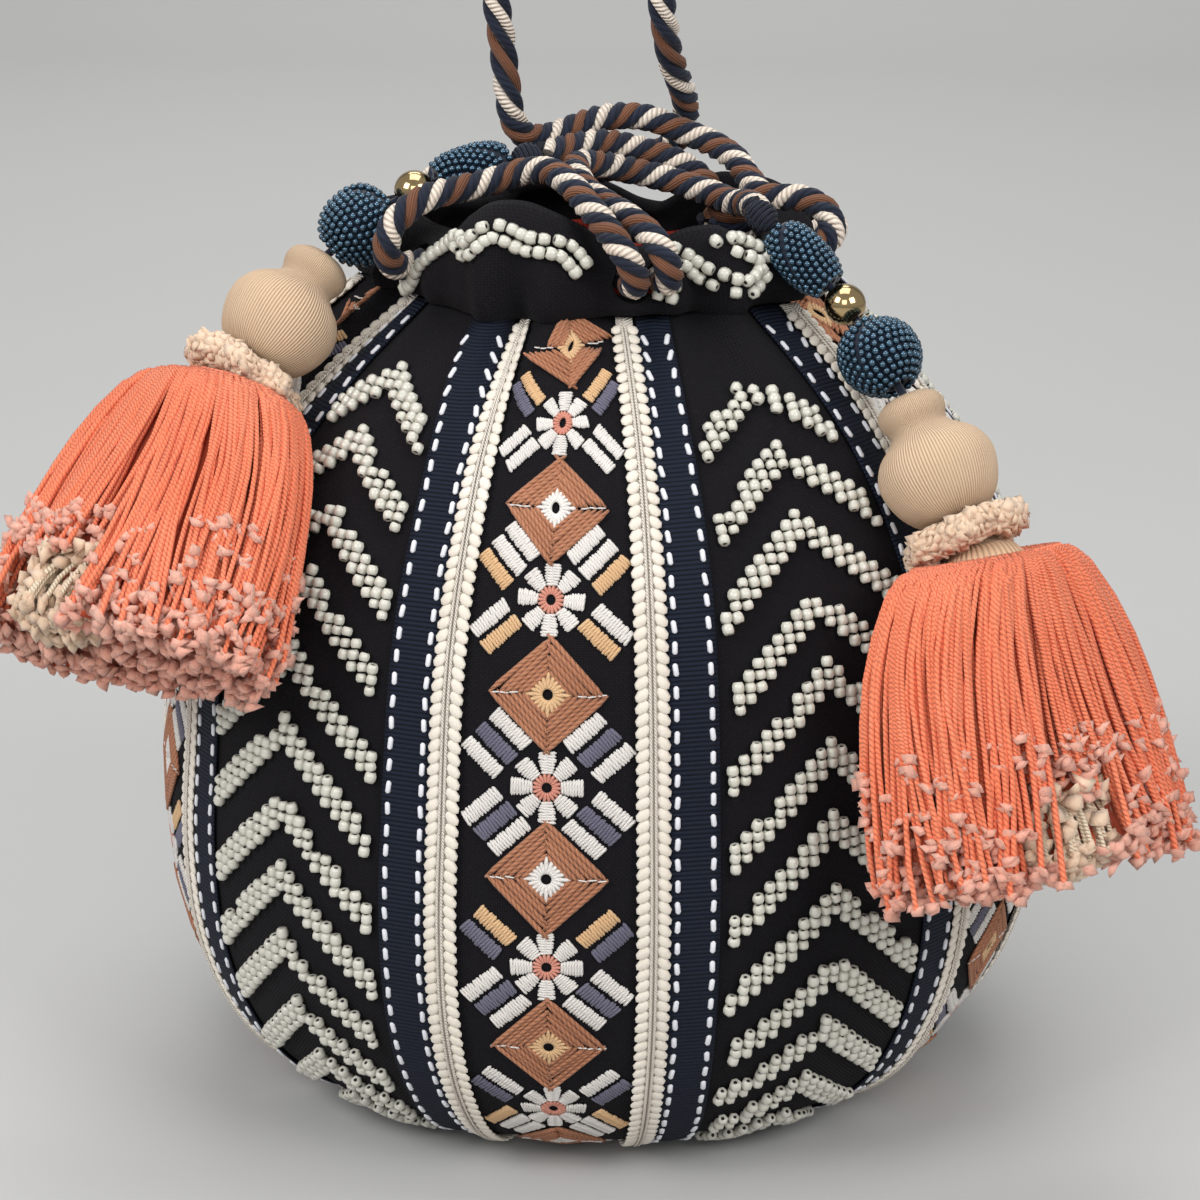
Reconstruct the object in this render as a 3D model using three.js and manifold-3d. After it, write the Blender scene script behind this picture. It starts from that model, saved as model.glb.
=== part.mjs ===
import * as THREE from 'three';
import { mergeVertices } from 'three/addons/utils/BufferGeometryUtils.js';
import Module from 'manifold-3d';

// A stuffed drawstring pouch with a folk-pattern body, in millimetres, standing on z = 0.
// Its axis is +Z, and its front embroidered panel faces -Y.
// An angle runs round that axis from the front panel towards +X.

const wasm = await Module();
wasm.setup();

// The body of the bag
const repeats = 5;
const baseRadius = 62;
const baseThickness = 4.1;
const bellyRadius = 107.5;
const bellyHeight = 68;
const neckRadius = 49;
const neckHeight = 199.5;
const panelFoot = 2.4;
const panelThickness = 1.5;
const liningThickness = 1.5;
const shoulderShape = [[0.16, 0.985], [0.45, 0.905], [0.67, 0.7], [0.86, 0.37]];
const wallLevels = 10;
const outlineSteps = 200;
const footGap = 0.8;
const trimHead = 0.985;
const seamAngle = 17.7;
const seamGap = 0.35;
const layerGap = 0.5;
const liningGap = 0.8;

// The trims sewn over the seams
const braidWidth = 6.75;
const braidThickness = 1.6;
const braidAngle = 12.8;
const ribbonWidth = 11.3;
const ribbonThickness = 0.7;
const trimGathering = 0.4;

// The gathered neck and its top band
const puffAngle = -17;
const gatherDepth = 2.2;
const gatherStart = 150;
const bandThickness = 4.5;
const bandPuff = 3.2;
const rimGather = 2.4;
const rimTurnIn = 5;
const rimSpots = [
  [-89, 17], [-53, 13], [-17, 25], [19, 13], [40, 18], [55, 12], [76, 12.5], [108, 14],
  [142, 13.5], [166, 5], [195, 12], [235, 12.5],
];
const eyelets = [
  { angle: 19, cords: 2 }, { angle: -53, cords: 1 }, { angle: 76, cords: 1 },
  { angle: 108, cords: 1 }, { angle: 142, cords: 1 }, { angle: -125, cords: 1 },
];
const eyeletHeight = 6.5;
const eyeletClearance = 1;

// The cords
const cordDiameter = 7;
const cordSides = 8;
const cordStep = 9.6;
const threadDiameter = 2;
const threadSteps = 12;

// The pieces of a pendant, from the cord down
const knotRadius = 4;
const beadBore = 3.8;
const beadGap = 0.6;
const barrelLength = 18.6;
const barrelRadius = 6.4;
const barrelEndRadius = 3.9;
const goldRadius = 4.8;
const ballRadius = 9.8;
const headLength = 31;
const headKnobRadius = 8;
const headKnobLength = 8.5;
const headWaistRadius = 6.7;
const headBulbRadius = 13.8;
const headFootRadius = 7;
const headBoreDepth = 6;
const headGap = 1.6;
const stemRadius = 5.6;
const collarRadius = 15;
const collarLength = 8;
const collarRuffles = 7;
const collarRuffleDepth = 0.9;
const neckBallRadius = 10.8;
const neckShoulderRadius = 8.5;
const seatClearance = 0.6;
const neckLength = 0.34;
const skirtLength = 72;
const skirtTopRadius = 15.5;
const skirtEndRadius = 39;
const skirtFlatness = 0.62;
const skirtBowl = 13;
const coreRadius = 19;
const coreStandOut = 2;
const coreClearance = 1;

// The cords' routes, as points chosen along each real cord, with heights above the neck
const strapRoute = [
  [37, -9, 6.5], [43.5, -10.9, 6.5], [51, -12.3, 7.3], [56, -12.2, 10.8], [55.5, -9, 16],
  [49.5, -6, 19], [40, -2.5, 19], [36, 6, 21], [31.5, 14, 25], [25, 19, 28], [18, 21, 30.3],
  [9, 21, 33.5], [0, 17, 34], [-8, 12, 32], [-14, 7.5, 30.5], [-18.5, 4, 31.5], [-21, 2.5, 35.5],
  [-22, 1.5, 42.5], [-23, 1.5, 51], [-24, 1.5, 59], [-25, 1.5, 67.5], [-22.5, 1.5, 77],
  [-15.5, 3, 84], [-6, 4.5, 86.5], [3.5, 6, 84], [10.5, 7, 77], [13.5, 7.5, 67],
  [14.5, 10.5, 58.5], [15.5, 16, 49.5], [17, 23, 42.5], [18, 31.5, 35.5], [17, 37.5, 28.5],
  [13.5, 40, 23.5], [7, 40, 20.5], [-1.5, 37, 18], [-10.5, 34, 17], [-19, 33, 17.5],
  [-27.5, 33.5, 18], [-35.5, 34.5, 18.5], [-43, 34.8, 17], [-47, 33.8, 12], [-45.2, 31.7, 7.5],
  [-40.1, 28.1, 6.5], [-35.5, 24.9, 6.5], [-30.5, 21.4, 6.5],
];
const lacingRoute = [
  [-29.5, -22.3, 6.5], [-34.5, -26, 6.5], [-39.5, -29.9, 6.5], [-42.5, -33.8, 6.5],
  [-44, -39, 8], [-44.5, -43, 12], [-43.5, -43, 17], [-40, -41.5, 21], [-36, -38.5, 23.5],
  [-30.5, -34.5, 24.5], [-22, -29.5, 26], [-15, -28, 28], [-8, -32, 29], [-2.5, -39.5, 27.5],
  [3, -48, 24], [9, -54.5, 18.5], [13, -57.5, 13.5], [14.6, -55.5, 8.8], [13.3, -50, 6.5],
  [11, -43.2, 6.5], [8.5, -36, 6.5],
];
const leftDrawstringRoute = [
  [-12.2, -10.2, 29.2], [-10, -7.7, 29.5], [-6, -2.5, 30], [1, 4.3, 29.9], [9.5, 9, 27.5],
  [18.5, 11.5, 24], [25, 11.5, 19], [30, 10, 12], [36, 11.5, 7], [43.5, 14.1, 6.5],
  [50.4, 16.4, 6.5], [54.8, 19.8, 6.5], [55.5, 25.3, 6.5], [53.5, 31.5, 6.5], [49, 37.5, 6.5],
  [42.5, 43, 6.5], [37.3, 44.6, 6.5], [32.6, 41.8, 6.5], [28.3, 36.2, 6.5], [23.5, 30, 6.5],
];
const rightDrawstringRoute = [
  [40, -26.8, 20.1], [37.5, -17.5, 19.8], [33, -8, 18.3], [25.5, -0.5, 19.5], [16.5, 3, 21.5],
  [8, 1.3, 23.7], [1, -5.5, 26.3], [-3.5, -13.5, 27.7], [-2.5, -22.5, 26.5], [1, -32, 24.5],
  [7, -40.5, 22.8], [13.5, -48, 20.5], [18.5, -53, 17.5], [21.3, -54.5, 13.3], [21.8, -52, 8.8],
  [20, -47, 6.5], [17.8, -40.6, 6.5], [15.5, -34, 6.5],
];
// Where the pendants hang: the angle round the bag, the distance out from its wall and the
// height above the neck of each point
const pendants = {
  left: {
    route: [
      [-50.301, -28.335, 28.7], [-54.112, -12.835, 27.1], [-58.977, 1.06, 21.7],
      [-59.651, 13.343, 15.9], [-62.166, 21.677, 6.1], [-61.25, 28.482, -3.7],
      [-55.856, 23.951, -22.1],
    ],
    skirtAim: [-45.9, 33.34, -71.5],
    flatSide: -22,
  },
  right: {
    route: [
      [52.667, 2.942, 19.3], [54.624, 16.982, 8.5], [57.057, 25.357, -0.1],
      [55.688, 23.496, -9.4], [54.321, 23.665, -18.4], [54.687, 22.541, -30.7],
      [53.072, 22.972, -51.6],
    ],
    skirtAim: [51.147, 31.615, -115.5],
    flatSide: 42,
  },
};

const black = cloth(0x16151a);
const coral = cloth(0xe8735a);
const liningRed = cloth(0xb5453f);
const cream = cloth(0xdfcfae);
const offWhite = cloth(0xd8d2c2);
const navy = cloth(0x1b2a45);
const beadBlue = new THREE.MeshStandardMaterial({ color: 0x23384f, roughness: 0.25, metalness: 0.3 });
const gold = new THREE.MeshStandardMaterial({ color: 0xb89a66, roughness: 0.15, metalness: 1 });

function cloth(color) {
  return new THREE.MeshStandardMaterial({ color, roughness: 0.9, metalness: 0 });
}

// Plain helpers

function smoothstep(from, to, value) {
  return THREE.MathUtils.smoothstep(value, from, to);
}

function closed(geometry) {
  geometry.deleteAttribute('normal');
  geometry.deleteAttribute('uv');
  return mergeVertices(geometry, 1e-4);
}

function solid(geometry) {
  const shape = closed(geometry);
  const vertProperties = new Float32Array(shape.attributes.position.array);
  const triVerts = new Uint32Array(shape.index.array);
  return new wasm.Manifold(new wasm.Mesh({ numProp: 3, vertProperties, triVerts }));
}

function geometryOf(manifold) {
  const mesh = manifold.getMesh();
  const geometry = new THREE.BufferGeometry();
  geometry.setAttribute('position', new THREE.BufferAttribute(mesh.vertProperties, 3));
  geometry.setIndex(new THREE.BufferAttribute(mesh.triVerts, 1));
  return geometry;
}

function named(name, geometry, material) {
  const mesh = new THREE.Mesh(geometry, material);
  mesh.name = name;
  return mesh;
}

function revolve(profile, segments) {
  return new THREE.LatheGeometry(profile, segments).rotateX(Math.PI / 2);
}

function moveEach(geometry, change) {
  const at = geometry.attributes.position;
  const point = new THREE.Vector3();
  for (let i = 0; i < at.count; i++) {
    change(point.fromBufferAttribute(at, i));
    at.setXYZ(i, point.x, point.y, point.z);
  }
  return geometry;
}

function angleOf(point) {
  return Math.atan2(point.x, -point.y);
}

// The wall of the body: a round foot, a full belly and a shoulder that draws in to the neck

function wallOutline() {
  const foot = [];
  const overhang = bellyRadius - baseRadius - footGap;
  for (const turn of [0, 18, 36, 54, 72, 90]) {
    const angle = THREE.MathUtils.degToRad(turn);
    const radius = baseRadius + footGap + overhang * Math.sin(angle);
    const height = panelFoot + (bellyHeight - panelFoot) * (1 - Math.cos(angle));
    foot.push(new THREE.Vector2(radius, height));
  }
  const shoulder = shoulderShape.map(([up, out]) => new THREE.Vector2(
    neckRadius + (bellyRadius - neckRadius) * out,
    bellyHeight + (neckHeight - bellyHeight) * up,
  ));
  return new THREE.SplineCurve([...foot, ...shoulder, new THREE.Vector2(neckRadius, neckHeight)]);
}

const outline = wallOutline();

function liftedPoint(share, lift) {
  const point = outline.getPoint(share);
  const along = outline.getTangent(share);
  return new THREE.Vector2(point.x + along.y * lift, point.y - along.x * lift);
}

// The wall rises in straight steps that every layer shares, so the layers stay parallel
function wall(share, lift) {
  const step = Math.min(Math.floor(share * wallLevels), wallLevels - 1);
  const foot = liftedPoint(step / wallLevels, lift);
  return foot.lerp(liftedPoint((step + 1) / wallLevels, lift), share * wallLevels - step);
}

function puffAt(angle) {
  return Math.cos(repeats * (angle - THREE.MathUtils.degToRad(puffAngle)));
}

// The drawstring pulls the neck into as many puffs as there are repeats
function gatherNeck(geometry) {
  return moveEach(geometry, (point) => {
    const radius = Math.hypot(point.x, point.y);
    if (radius < baseRadius / 2) return;
    const drawn = gatherDepth * smoothstep(gatherStart, neckHeight, point.z);
    const push = 1 + (drawn * puffAt(angleOf(point))) / radius;
    point.x *= push;
    point.y *= push;
  });
}

// A flat strip of cloth, one unit each way, bent on to the wall between two edges
function strip(leftEdge, rightEdge, inner, outer, columns, head = 1) {
  const flat = new THREE.BoxGeometry(1, 1, 1, columns, wallLevels, 1);
  const bent = moveEach(flat, (point) => {
    const share = Math.min(point.y + 0.5, head);
    const spot = wall(share, THREE.MathUtils.lerp(inner, outer, point.z + 0.5));
    const angle = THREE.MathUtils.lerp(leftEdge(share), rightEdge(share), point.x + 0.5);
    point.set(spot.x * Math.sin(angle), -spot.x * Math.cos(angle), spot.y);
  });
  return gatherNeck(closed(bent));
}

function seam(degrees, gapSide) {
  const angle = THREE.MathUtils.degToRad(degrees);
  return (share) => angle + (gapSide * seamGap) / 2 / outline.getPoint(share).x;
}

function trimEdge(centre, side, fromBraid) {
  const line = THREE.MathUtils.degToRad(centre + side * braidAngle);
  return (share) => {
    const radius = outline.getPoint(share).x;
    const drawn = (radius / bellyRadius) ** trimGathering;
    const gap = fromBraid > 0 ? seamGap : 0;
    const out = (braidWidth / 2 + fromBraid) * drawn + gap;
    return line + (side * out) / radius;
  };
}

function braidInnerEdge(centre, side) {
  const line = THREE.MathUtils.degToRad(centre + side * braidAngle);
  return (share) => {
    const radius = outline.getPoint(share).x;
    const drawn = (radius / bellyRadius) ** trimGathering;
    return line - (side * braidWidth * drawn) / 2 / radius;
  };
}

function ribbonInnerEdge(centre, side) {
  const edge = trimEdge(centre, side, 0);
  return (share) => edge(share) + (side * seamGap) / outline.getPoint(share).x;
}

function inOrder(side, near, far) {
  return side > 0 ? [near, far] : [far, near];
}

function bodyPanels() {
  const pieces = [];
  const pitch = 360 / repeats;
  for (let i = 0; i < repeats; i++) {
    const centre = i * pitch;
    const embroidered = strip(
      seam(centre - seamAngle, 1), seam(centre + seamAngle, -1), -panelThickness, 0, 5);
    pieces.push(named(`embroidered_panel_${i + 1}`, embroidered, black));
    const beaded = strip(
      seam(centre + seamAngle, 1), seam(centre + pitch - seamAngle, -1), -panelThickness, 0, 5);
    pieces.push(named(`beaded_panel_${i + 1}`, beaded, black));
  }
  return pieces;
}

function bodyTrims() {
  const pieces = [];
  const pitch = 360 / repeats;
  for (let i = 0; i < repeats; i++) {
    for (const [word, side] of [['left', -1], ['right', 1]]) {
      const centre = i * pitch;
      const braid = strip(
        ...inOrder(side, braidInnerEdge(centre, side), trimEdge(centre, side, 0)),
        layerGap, layerGap + braidThickness, 1, trimHead);
      pieces.push(named(`${word}_braid_${i + 1}`, braid, offWhite));
      const ribbon = strip(
        ...inOrder(side, ribbonInnerEdge(centre, side), trimEdge(centre, side, ribbonWidth)),
        layerGap, layerGap + ribbonThickness, 1, trimHead);
      pieces.push(named(`${word}_ribbon_${i + 1}`, ribbon, navy));
    }
  }
  return pieces;
}

function basePanel() {
  const disc = new THREE.CylinderGeometry(baseRadius, baseRadius, baseThickness, 40);
  disc.rotateX(Math.PI / 2).translate(0, 0, baseThickness / 2);
  return named('base_panel', closed(disc), black);
}

// One sewn bucket of lining, with a flat bottom that lies on the base panel
function lining() {
  const outerLift = -panelThickness - liningGap;
  const innerLift = outerLift - liningThickness;
  const outer = [];
  const inner = [];
  for (let i = 0; i <= wallLevels; i++) {
    outer.push(wall(i / wallLevels, outerLift));
    inner.unshift(wall(i / wallLevels, innerLift));
  }
  const below = baseThickness + seamGap;
  outer[0].y = below;
  inner[inner.length - 1].y = below + liningThickness;
  const profile = [
    new THREE.Vector2(0, below), ...outer, ...inner, new THREE.Vector2(0, below + liningThickness),
  ];
  return named('lining', gatherNeck(closed(revolve(profile, 30))), liningRed);
}

// The plain band above the panels, puffed between its eyelets, with its rim turned in.
// Its section gives the height from 0 at the neck to 1 at the rim.
function bandOutline() {
  const inside = neckRadius - bandThickness;
  return [
    [neckRadius, 0], [neckRadius + bandPuff, 0.45], [neckRadius, 0.85],
    [neckRadius - rimTurnIn + 1.5, 1], [neckRadius - rimTurnIn - 2, 1],
    [inside - rimTurnIn + 1, 0.8], [inside + bandPuff / 2, 0.45], [inside, 0], [neckRadius, 0],
  ].map(([radius, height]) => new THREE.Vector2(radius, height));
}

// How high the rim stands above the neck, eased from each puff to the dip beside it
function rimHeight(angle) {
  const degrees = THREE.MathUtils.radToDeg(angle);
  const turned = THREE.MathUtils.euclideanModulo(degrees - rimSpots[0][0], 360) + rimSpots[0][0];
  const spots = [...rimSpots, [rimSpots[0][0] + 360, rimSpots[0][1]]];
  const next = spots.findIndex(([at]) => at > turned);
  const [from, low] = spots[next - 1];
  const [to, high] = spots[next];
  const eased = (1 - Math.cos((Math.PI * (turned - from)) / (to - from))) / 2;
  return THREE.MathUtils.lerp(low, high, eased);
}

function puffBand(geometry) {
  return moveEach(geometry, (point) => {
    const angle = angleOf(point);
    const radius = Math.hypot(point.x, point.y);
    const push = 1 + ((gatherDepth + rimGather * point.z) * puffAt(angle)) / radius;
    const foot = neckHeight + seamGap;
    point.set(point.x * push, point.y * push, foot + point.z * (rimHeight(angle) - seamGap));
  });
}

function eyelet(degrees, sideways) {
  const radius = cordDiameter / 2 + eyeletClearance;
  const punch = new THREE.CylinderGeometry(radius, radius, neckRadius, 12);
  punch.translate(sideways, -neckRadius, 0);
  punch.rotateZ(THREE.MathUtils.degToRad(degrees));
  punch.translate(0, 0, neckHeight + eyeletHeight);
  return solid(punch);
}

function topBand() {
  let band = solid(puffBand(closed(revolve(bandOutline(), 45))));
  const beside = cordDiameter / 2 + seamGap / 2;
  for (const { angle, cords: count } of eyelets) {
    for (const side of count > 1 ? [-beside, beside] : [0]) {
      band = band.subtract(eyelet(angle, side));
    }
  }
  return named('top_band', geometryOf(band), black);
}

// Cords

function cordCurve(route) {
  return new THREE.CatmullRomCurve3(
    route.map(([x, y, height]) => new THREE.Vector3(x, y, neckHeight + height)));
}

function round(diameter, sides) {
  const section = new THREE.Shape();
  for (let i = 0; i < sides; i++) {
    const angle = (i * 2 * Math.PI) / sides;
    section[i ? 'lineTo' : 'moveTo'](
      (Math.cos(angle) * diameter) / 2, (Math.sin(angle) * diameter) / 2);
  }
  section.closePath();
  return section;
}

function tube(path, diameter, steps) {
  const section = round(diameter, cordSides);
  return closed(new THREE.ExtrudeGeometry(section, { extrudePath: path, steps }));
}

function cords() {
  const routes = [
    ['strap_cord', strapRoute], ['lacing_cord', lacingRoute],
    ['left_drawstring', leftDrawstringRoute], ['right_drawstring', rightDrawstringRoute],
  ];
  return routes.map(([name, route]) => {
    const curve = cordCurve(route);
    const steps = Math.round(curve.getLength() / cordStep);
    return named(name, tube(curve, cordDiameter, steps), offWhite);
  });
}

// Pieces of a pendant, each made hanging down -Z from its own top or centre

function arc(radiusAcross, radiusAlong, centre, from, to, steps) {
  const points = [];
  for (let i = 0; i <= steps; i++) {
    const angle = THREE.MathUtils.degToRad(THREE.MathUtils.lerp(from, to, i / steps));
    points.push(new THREE.Vector2(
      radiusAcross * Math.cos(angle), centre + radiusAlong * Math.sin(angle)));
  }
  return points;
}

function barrelBead() {
  const half = barrelLength / 2;
  const bore = beadBore / 2;
  const rounding = new THREE.EllipseCurve(
    barrelEndRadius, 0, barrelRadius - barrelEndRadius, half, -Math.PI / 2, Math.PI / 2);
  const profile = [new THREE.Vector2(bore, half), new THREE.Vector2(bore, -half)];
  profile.push(...rounding.getPoints(7), new THREE.Vector2(bore, half));
  return closed(revolve(profile, 14));
}

function boredSphere(radius, segments, steps) {
  const bore = beadBore / 2;
  const start = THREE.MathUtils.radToDeg(Math.acos(bore / radius));
  const profile = [...arc(radius, radius, 0, -start, start, steps)];
  profile.push(profile[0].clone());
  return closed(revolve(profile, segments));
}

// A turned bead wrapped in cotton: a small knob on a full bulb
function tasselHead() {
  const bulbMiddle = headKnobLength + (headLength - headKnobLength) * 0.48;
  const outer = new THREE.SplineCurve([
    new THREE.Vector2(5.6, 0),
    new THREE.Vector2(headKnobRadius - 0.4, -headKnobLength * 0.22),
    new THREE.Vector2(headKnobRadius, -headKnobLength * 0.5),
    new THREE.Vector2(headWaistRadius, -headKnobLength),
    new THREE.Vector2(headBulbRadius * 0.83, -headKnobLength - 4.5),
    new THREE.Vector2(headBulbRadius, -bulbMiddle),
    new THREE.Vector2(headBulbRadius * 0.86, -headLength + 4.5),
    new THREE.Vector2(headFootRadius, -headLength),
  ]);
  const bore = beadBore / 2;
  const profile = [
    new THREE.Vector2(0, -headLength), ...outer.getPoints(13).reverse(),
    new THREE.Vector2(bore, 0), new THREE.Vector2(bore, -headBoreDepth),
    new THREE.Vector2(0, -headBoreDepth),
  ];
  return closed(revolve(profile, 14));
}

// The cut-pile ruffle round the stem under the head
function ruffleCollar() {
  const inner = stemRadius + seamGap;
  const thick = (collarRadius - inner) / 2;
  const profile = arc(thick, collarLength / 2, -collarLength / 2, -180, 180, 8);
  profile.forEach((point) => { point.x += inner + thick; });
  return moveEach(closed(revolve(profile, 21)), (point) => {
    const radius = Math.hypot(point.x, point.y);
    const out = (radius - inner) / (collarRadius - inner);
    const push = 1 + (collarRuffleDepth * out * Math.cos(collarRuffles * angleOf(point))) / radius;
    point.x *= push;
    point.y *= push;
  });
}

function neckShoulderHeight() {
  return Math.sqrt(neckBallRadius ** 2 - neckShoulderRadius ** 2);
}

// The wrapped neck: a stem up through the collar, on a ball that the skirt hangs from
function wrappedNeck() {
  const foot = neckShoulderHeight() + neckLength;
  const top = foot + collarLength;
  const start = THREE.MathUtils.radToDeg(Math.acos(neckShoulderRadius / neckBallRadius));
  const profile = [
    ...arc(neckBallRadius, neckBallRadius, 0, -90, start, 6),
    new THREE.Vector2(stemRadius, foot + 1), new THREE.Vector2(stemRadius, top),
    new THREE.Vector2(0, top),
  ];
  return closed(revolve(profile, 14));
}

function flattenSkirt(geometry) {
  return moveEach(geometry, (point) => {
    const flattened = smoothstep(neckBallRadius, skirtLength * 0.5, -point.z);
    point.y *= THREE.MathUtils.lerp(1, skirtFlatness, flattened);
  });
}

// The skirt of yarn flares from the neck and lies flattened against the bag
function tasselSkirt() {
  const seat = neckBallRadius + seatClearance;
  const outer = new THREE.SplineCurve([
    new THREE.Vector2(skirtTopRadius, 0),
    new THREE.Vector2(skirtTopRadius + 3.5, -skirtLength * 0.18),
    new THREE.Vector2(skirtEndRadius * 0.66, -skirtLength * 0.45),
    new THREE.Vector2(skirtEndRadius * 0.87, -skirtLength * 0.72),
    new THREE.Vector2(skirtEndRadius, -skirtLength * 0.95),
  ]);
  const bowl = coreRadius + coreClearance;
  const profile = [
    new THREE.Vector2(0, -skirtLength + skirtBowl), new THREE.Vector2(bowl, -skirtLength + skirtBowl),
    new THREE.Vector2(bowl, -skirtLength), new THREE.Vector2(skirtEndRadius * 0.9, -skirtLength),
    ...outer.getPoints(6).reverse(), ...arc(seat, seat, 0, 0, -90, 5),
  ];
  return flattenSkirt(closed(revolve(profile, 18)));
}

// The bundle of undyed yarn inside the skirt
function tasselCore() {
  const top = -skirtLength + skirtBowl - coreClearance;
  const bottom = -skirtLength - coreStandOut;
  const profile = [
    new THREE.Vector2(0, bottom - 1), new THREE.Vector2(coreRadius * 0.7, bottom),
    new THREE.Vector2(coreRadius, bottom + 3), new THREE.Vector2(coreRadius, top),
    new THREE.Vector2(0, top),
  ];
  return flattenSkirt(closed(revolve(profile, 14)));
}

const upward = new THREE.Vector3(0, 0, 1);

// Turns a piece made along -Z so that it hangs along the given direction, its flat side outward
function hang(mesh, place, down, flatSide) {
  const up = down.clone().negate().normalize();
  const turn = THREE.MathUtils.degToRad(flatSide);
  const outward = new THREE.Vector3(0, -1, 0).applyAxisAngle(upward, turn);
  const across = new THREE.Vector3().crossVectors(outward, up).normalize();
  const facing = new THREE.Vector3().crossVectors(up, across);
  mesh.quaternion.setFromRotationMatrix(new THREE.Matrix4().makeBasis(across, facing, up));
  mesh.position.copy(place);
  return mesh;
}

function bodyRadius(height) {
  const points = outline.getPoints(outlineSteps);
  const above = points.findIndex((point) => point.y > height);
  if (above < 1) return neckRadius;
  const [low, high] = [points[above - 1], points[above]];
  return THREE.MathUtils.mapLinear(height, low.y, high.y, low.x, high.x);
}

// A point beside the bag, so that what hangs there keeps clear of its wall
function beside([degrees, standOff, heightAboveNeck]) {
  const angle = THREE.MathUtils.degToRad(degrees);
  const height = neckHeight + heightAboveNeck;
  const radius = bodyRadius(height) + standOff;
  return new THREE.Vector3(radius * Math.sin(angle), -radius * Math.cos(angle), height);
}

function pendant(word, { route, skirtAim, flatSide }) {
  const curve = new THREE.CatmullRomCurve3(route.map(beside));
  const length = curve.getLength();
  const spot = (distance) => curve.getPointAt(distance / length);
  const thread = [];
  const strung = (name, geometry, material, from, size) => {
    const top = spot(from);
    const foot = spot(from + size);
    const middle = top.clone().lerp(foot, 0.5);
    thread.push(top, middle, foot);
    return hang(named(`${word}_${name}`, geometry, material), middle, foot.clone().sub(top), flatSide);
  };

  const barrelAt = knotRadius + beadGap;
  const goldAt = barrelAt + barrelLength + beadGap;
  const ballAt = goldAt + 2 * goldRadius + beadGap;
  const beads = [
    strung('barrel_bead', barrelBead(), beadBlue, barrelAt, barrelLength),
    strung('gold_bead', boredSphere(goldRadius, 12, 7), gold, goldAt, 2 * goldRadius),
    strung('beaded_ball', boredSphere(ballRadius, 16, 8), beadBlue, ballAt, 2 * ballRadius),
  ];
  const headAt = ballAt + 2 * ballRadius + headGap;
  const headTop = spot(headAt);
  const headDown = spot(length).sub(headTop).normalize();
  const below = (distance) => headTop.clone().addScaledVector(headDown, distance);
  thread.push(headTop, below(headBoreDepth - beadGap));

  const collarAt = headLength + seamGap;
  const neckAt = collarAt + collarLength + seamGap + neckShoulderHeight() + neckLength;
  const neckSpot = below(neckAt);
  const skirtDown = beside(skirtAim).sub(neckSpot).normalize();
  const knot = new THREE.SphereGeometry(knotRadius, 10, 7);
  return [
    hang(named(`${word}_cord_knot`, closed(knot), navy), spot(0), curve.getTangentAt(0), flatSide),
    named(`${word}_bead_thread`, tube(new THREE.CatmullRomCurve3(thread), threadDiameter, threadSteps), navy),
    ...beads,
    hang(named(`${word}_tassel_head`, tasselHead(), cream), headTop, headDown, flatSide),
    hang(named(`${word}_ruffle_collar`, ruffleCollar(), cream), below(collarAt), headDown, flatSide),
    hang(named(`${word}_wrapped_neck`, wrappedNeck(), cream), neckSpot, headDown, flatSide),
    hang(named(`${word}_tassel_skirt`, tasselSkirt(), coral), neckSpot, skirtDown, flatSide),
    hang(named(`${word}_tassel_core`, tasselCore(), cream), neckSpot, skirtDown, flatSide),
  ];
}

const pouch = new THREE.Group();
pouch.add(basePanel(), lining(), ...bodyPanels(), ...bodyTrims(), topBand(), ...cords());
pouch.add(...pendant('left', pendants.left), ...pendant('right', pendants.right));

export default pouch;
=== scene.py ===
# %% [markdown]
# # A stuffed drawstring pouch with bead and tassel pendants
# The pouch is sewn from five embroidered and five beaded panels, with braid and ribbon over
# the seams, a gathered band at the neck, twisted cords, and two pendants of beads and yarn.
# Lengths are written in millimetres, and each mesh is turned into metres when it is finished.

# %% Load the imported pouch
import math
import random

import bmesh
import bpy
import numpy as np
from mathutils import Matrix, Vector, noise


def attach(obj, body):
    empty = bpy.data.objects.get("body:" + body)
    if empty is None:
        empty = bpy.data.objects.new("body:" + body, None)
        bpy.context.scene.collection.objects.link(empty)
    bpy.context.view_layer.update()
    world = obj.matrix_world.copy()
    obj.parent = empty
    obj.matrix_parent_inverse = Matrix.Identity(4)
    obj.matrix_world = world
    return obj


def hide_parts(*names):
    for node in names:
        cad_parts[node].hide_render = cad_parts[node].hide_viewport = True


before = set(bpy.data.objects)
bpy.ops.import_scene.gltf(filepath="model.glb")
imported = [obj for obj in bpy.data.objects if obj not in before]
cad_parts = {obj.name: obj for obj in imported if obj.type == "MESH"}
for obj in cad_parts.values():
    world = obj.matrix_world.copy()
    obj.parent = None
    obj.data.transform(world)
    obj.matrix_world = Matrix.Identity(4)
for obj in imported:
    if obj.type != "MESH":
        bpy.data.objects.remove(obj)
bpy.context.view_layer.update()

MM = 0.001
scene = bpy.context.scene
scene.view_settings.view_transform = "Standard"

# %% [markdown]
# ## The camera
# The photograph looks down at the pouch by 17 degrees from about 0.9 m away, a little from
# the right. A long lens keeps the round belly from bulging.

# %% Camera
CAMERA_AIM = Vector((0, 0, 0.110))
CAMERA_RISE, CAMERA_TURN, CAMERA_DISTANCE = math.radians(17), math.radians(6.3), 0.9


def seen_from(rise, turn):
    level = math.cos(rise)
    return Vector((math.sin(turn) * level, -math.cos(turn) * level, math.sin(rise)))


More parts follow.
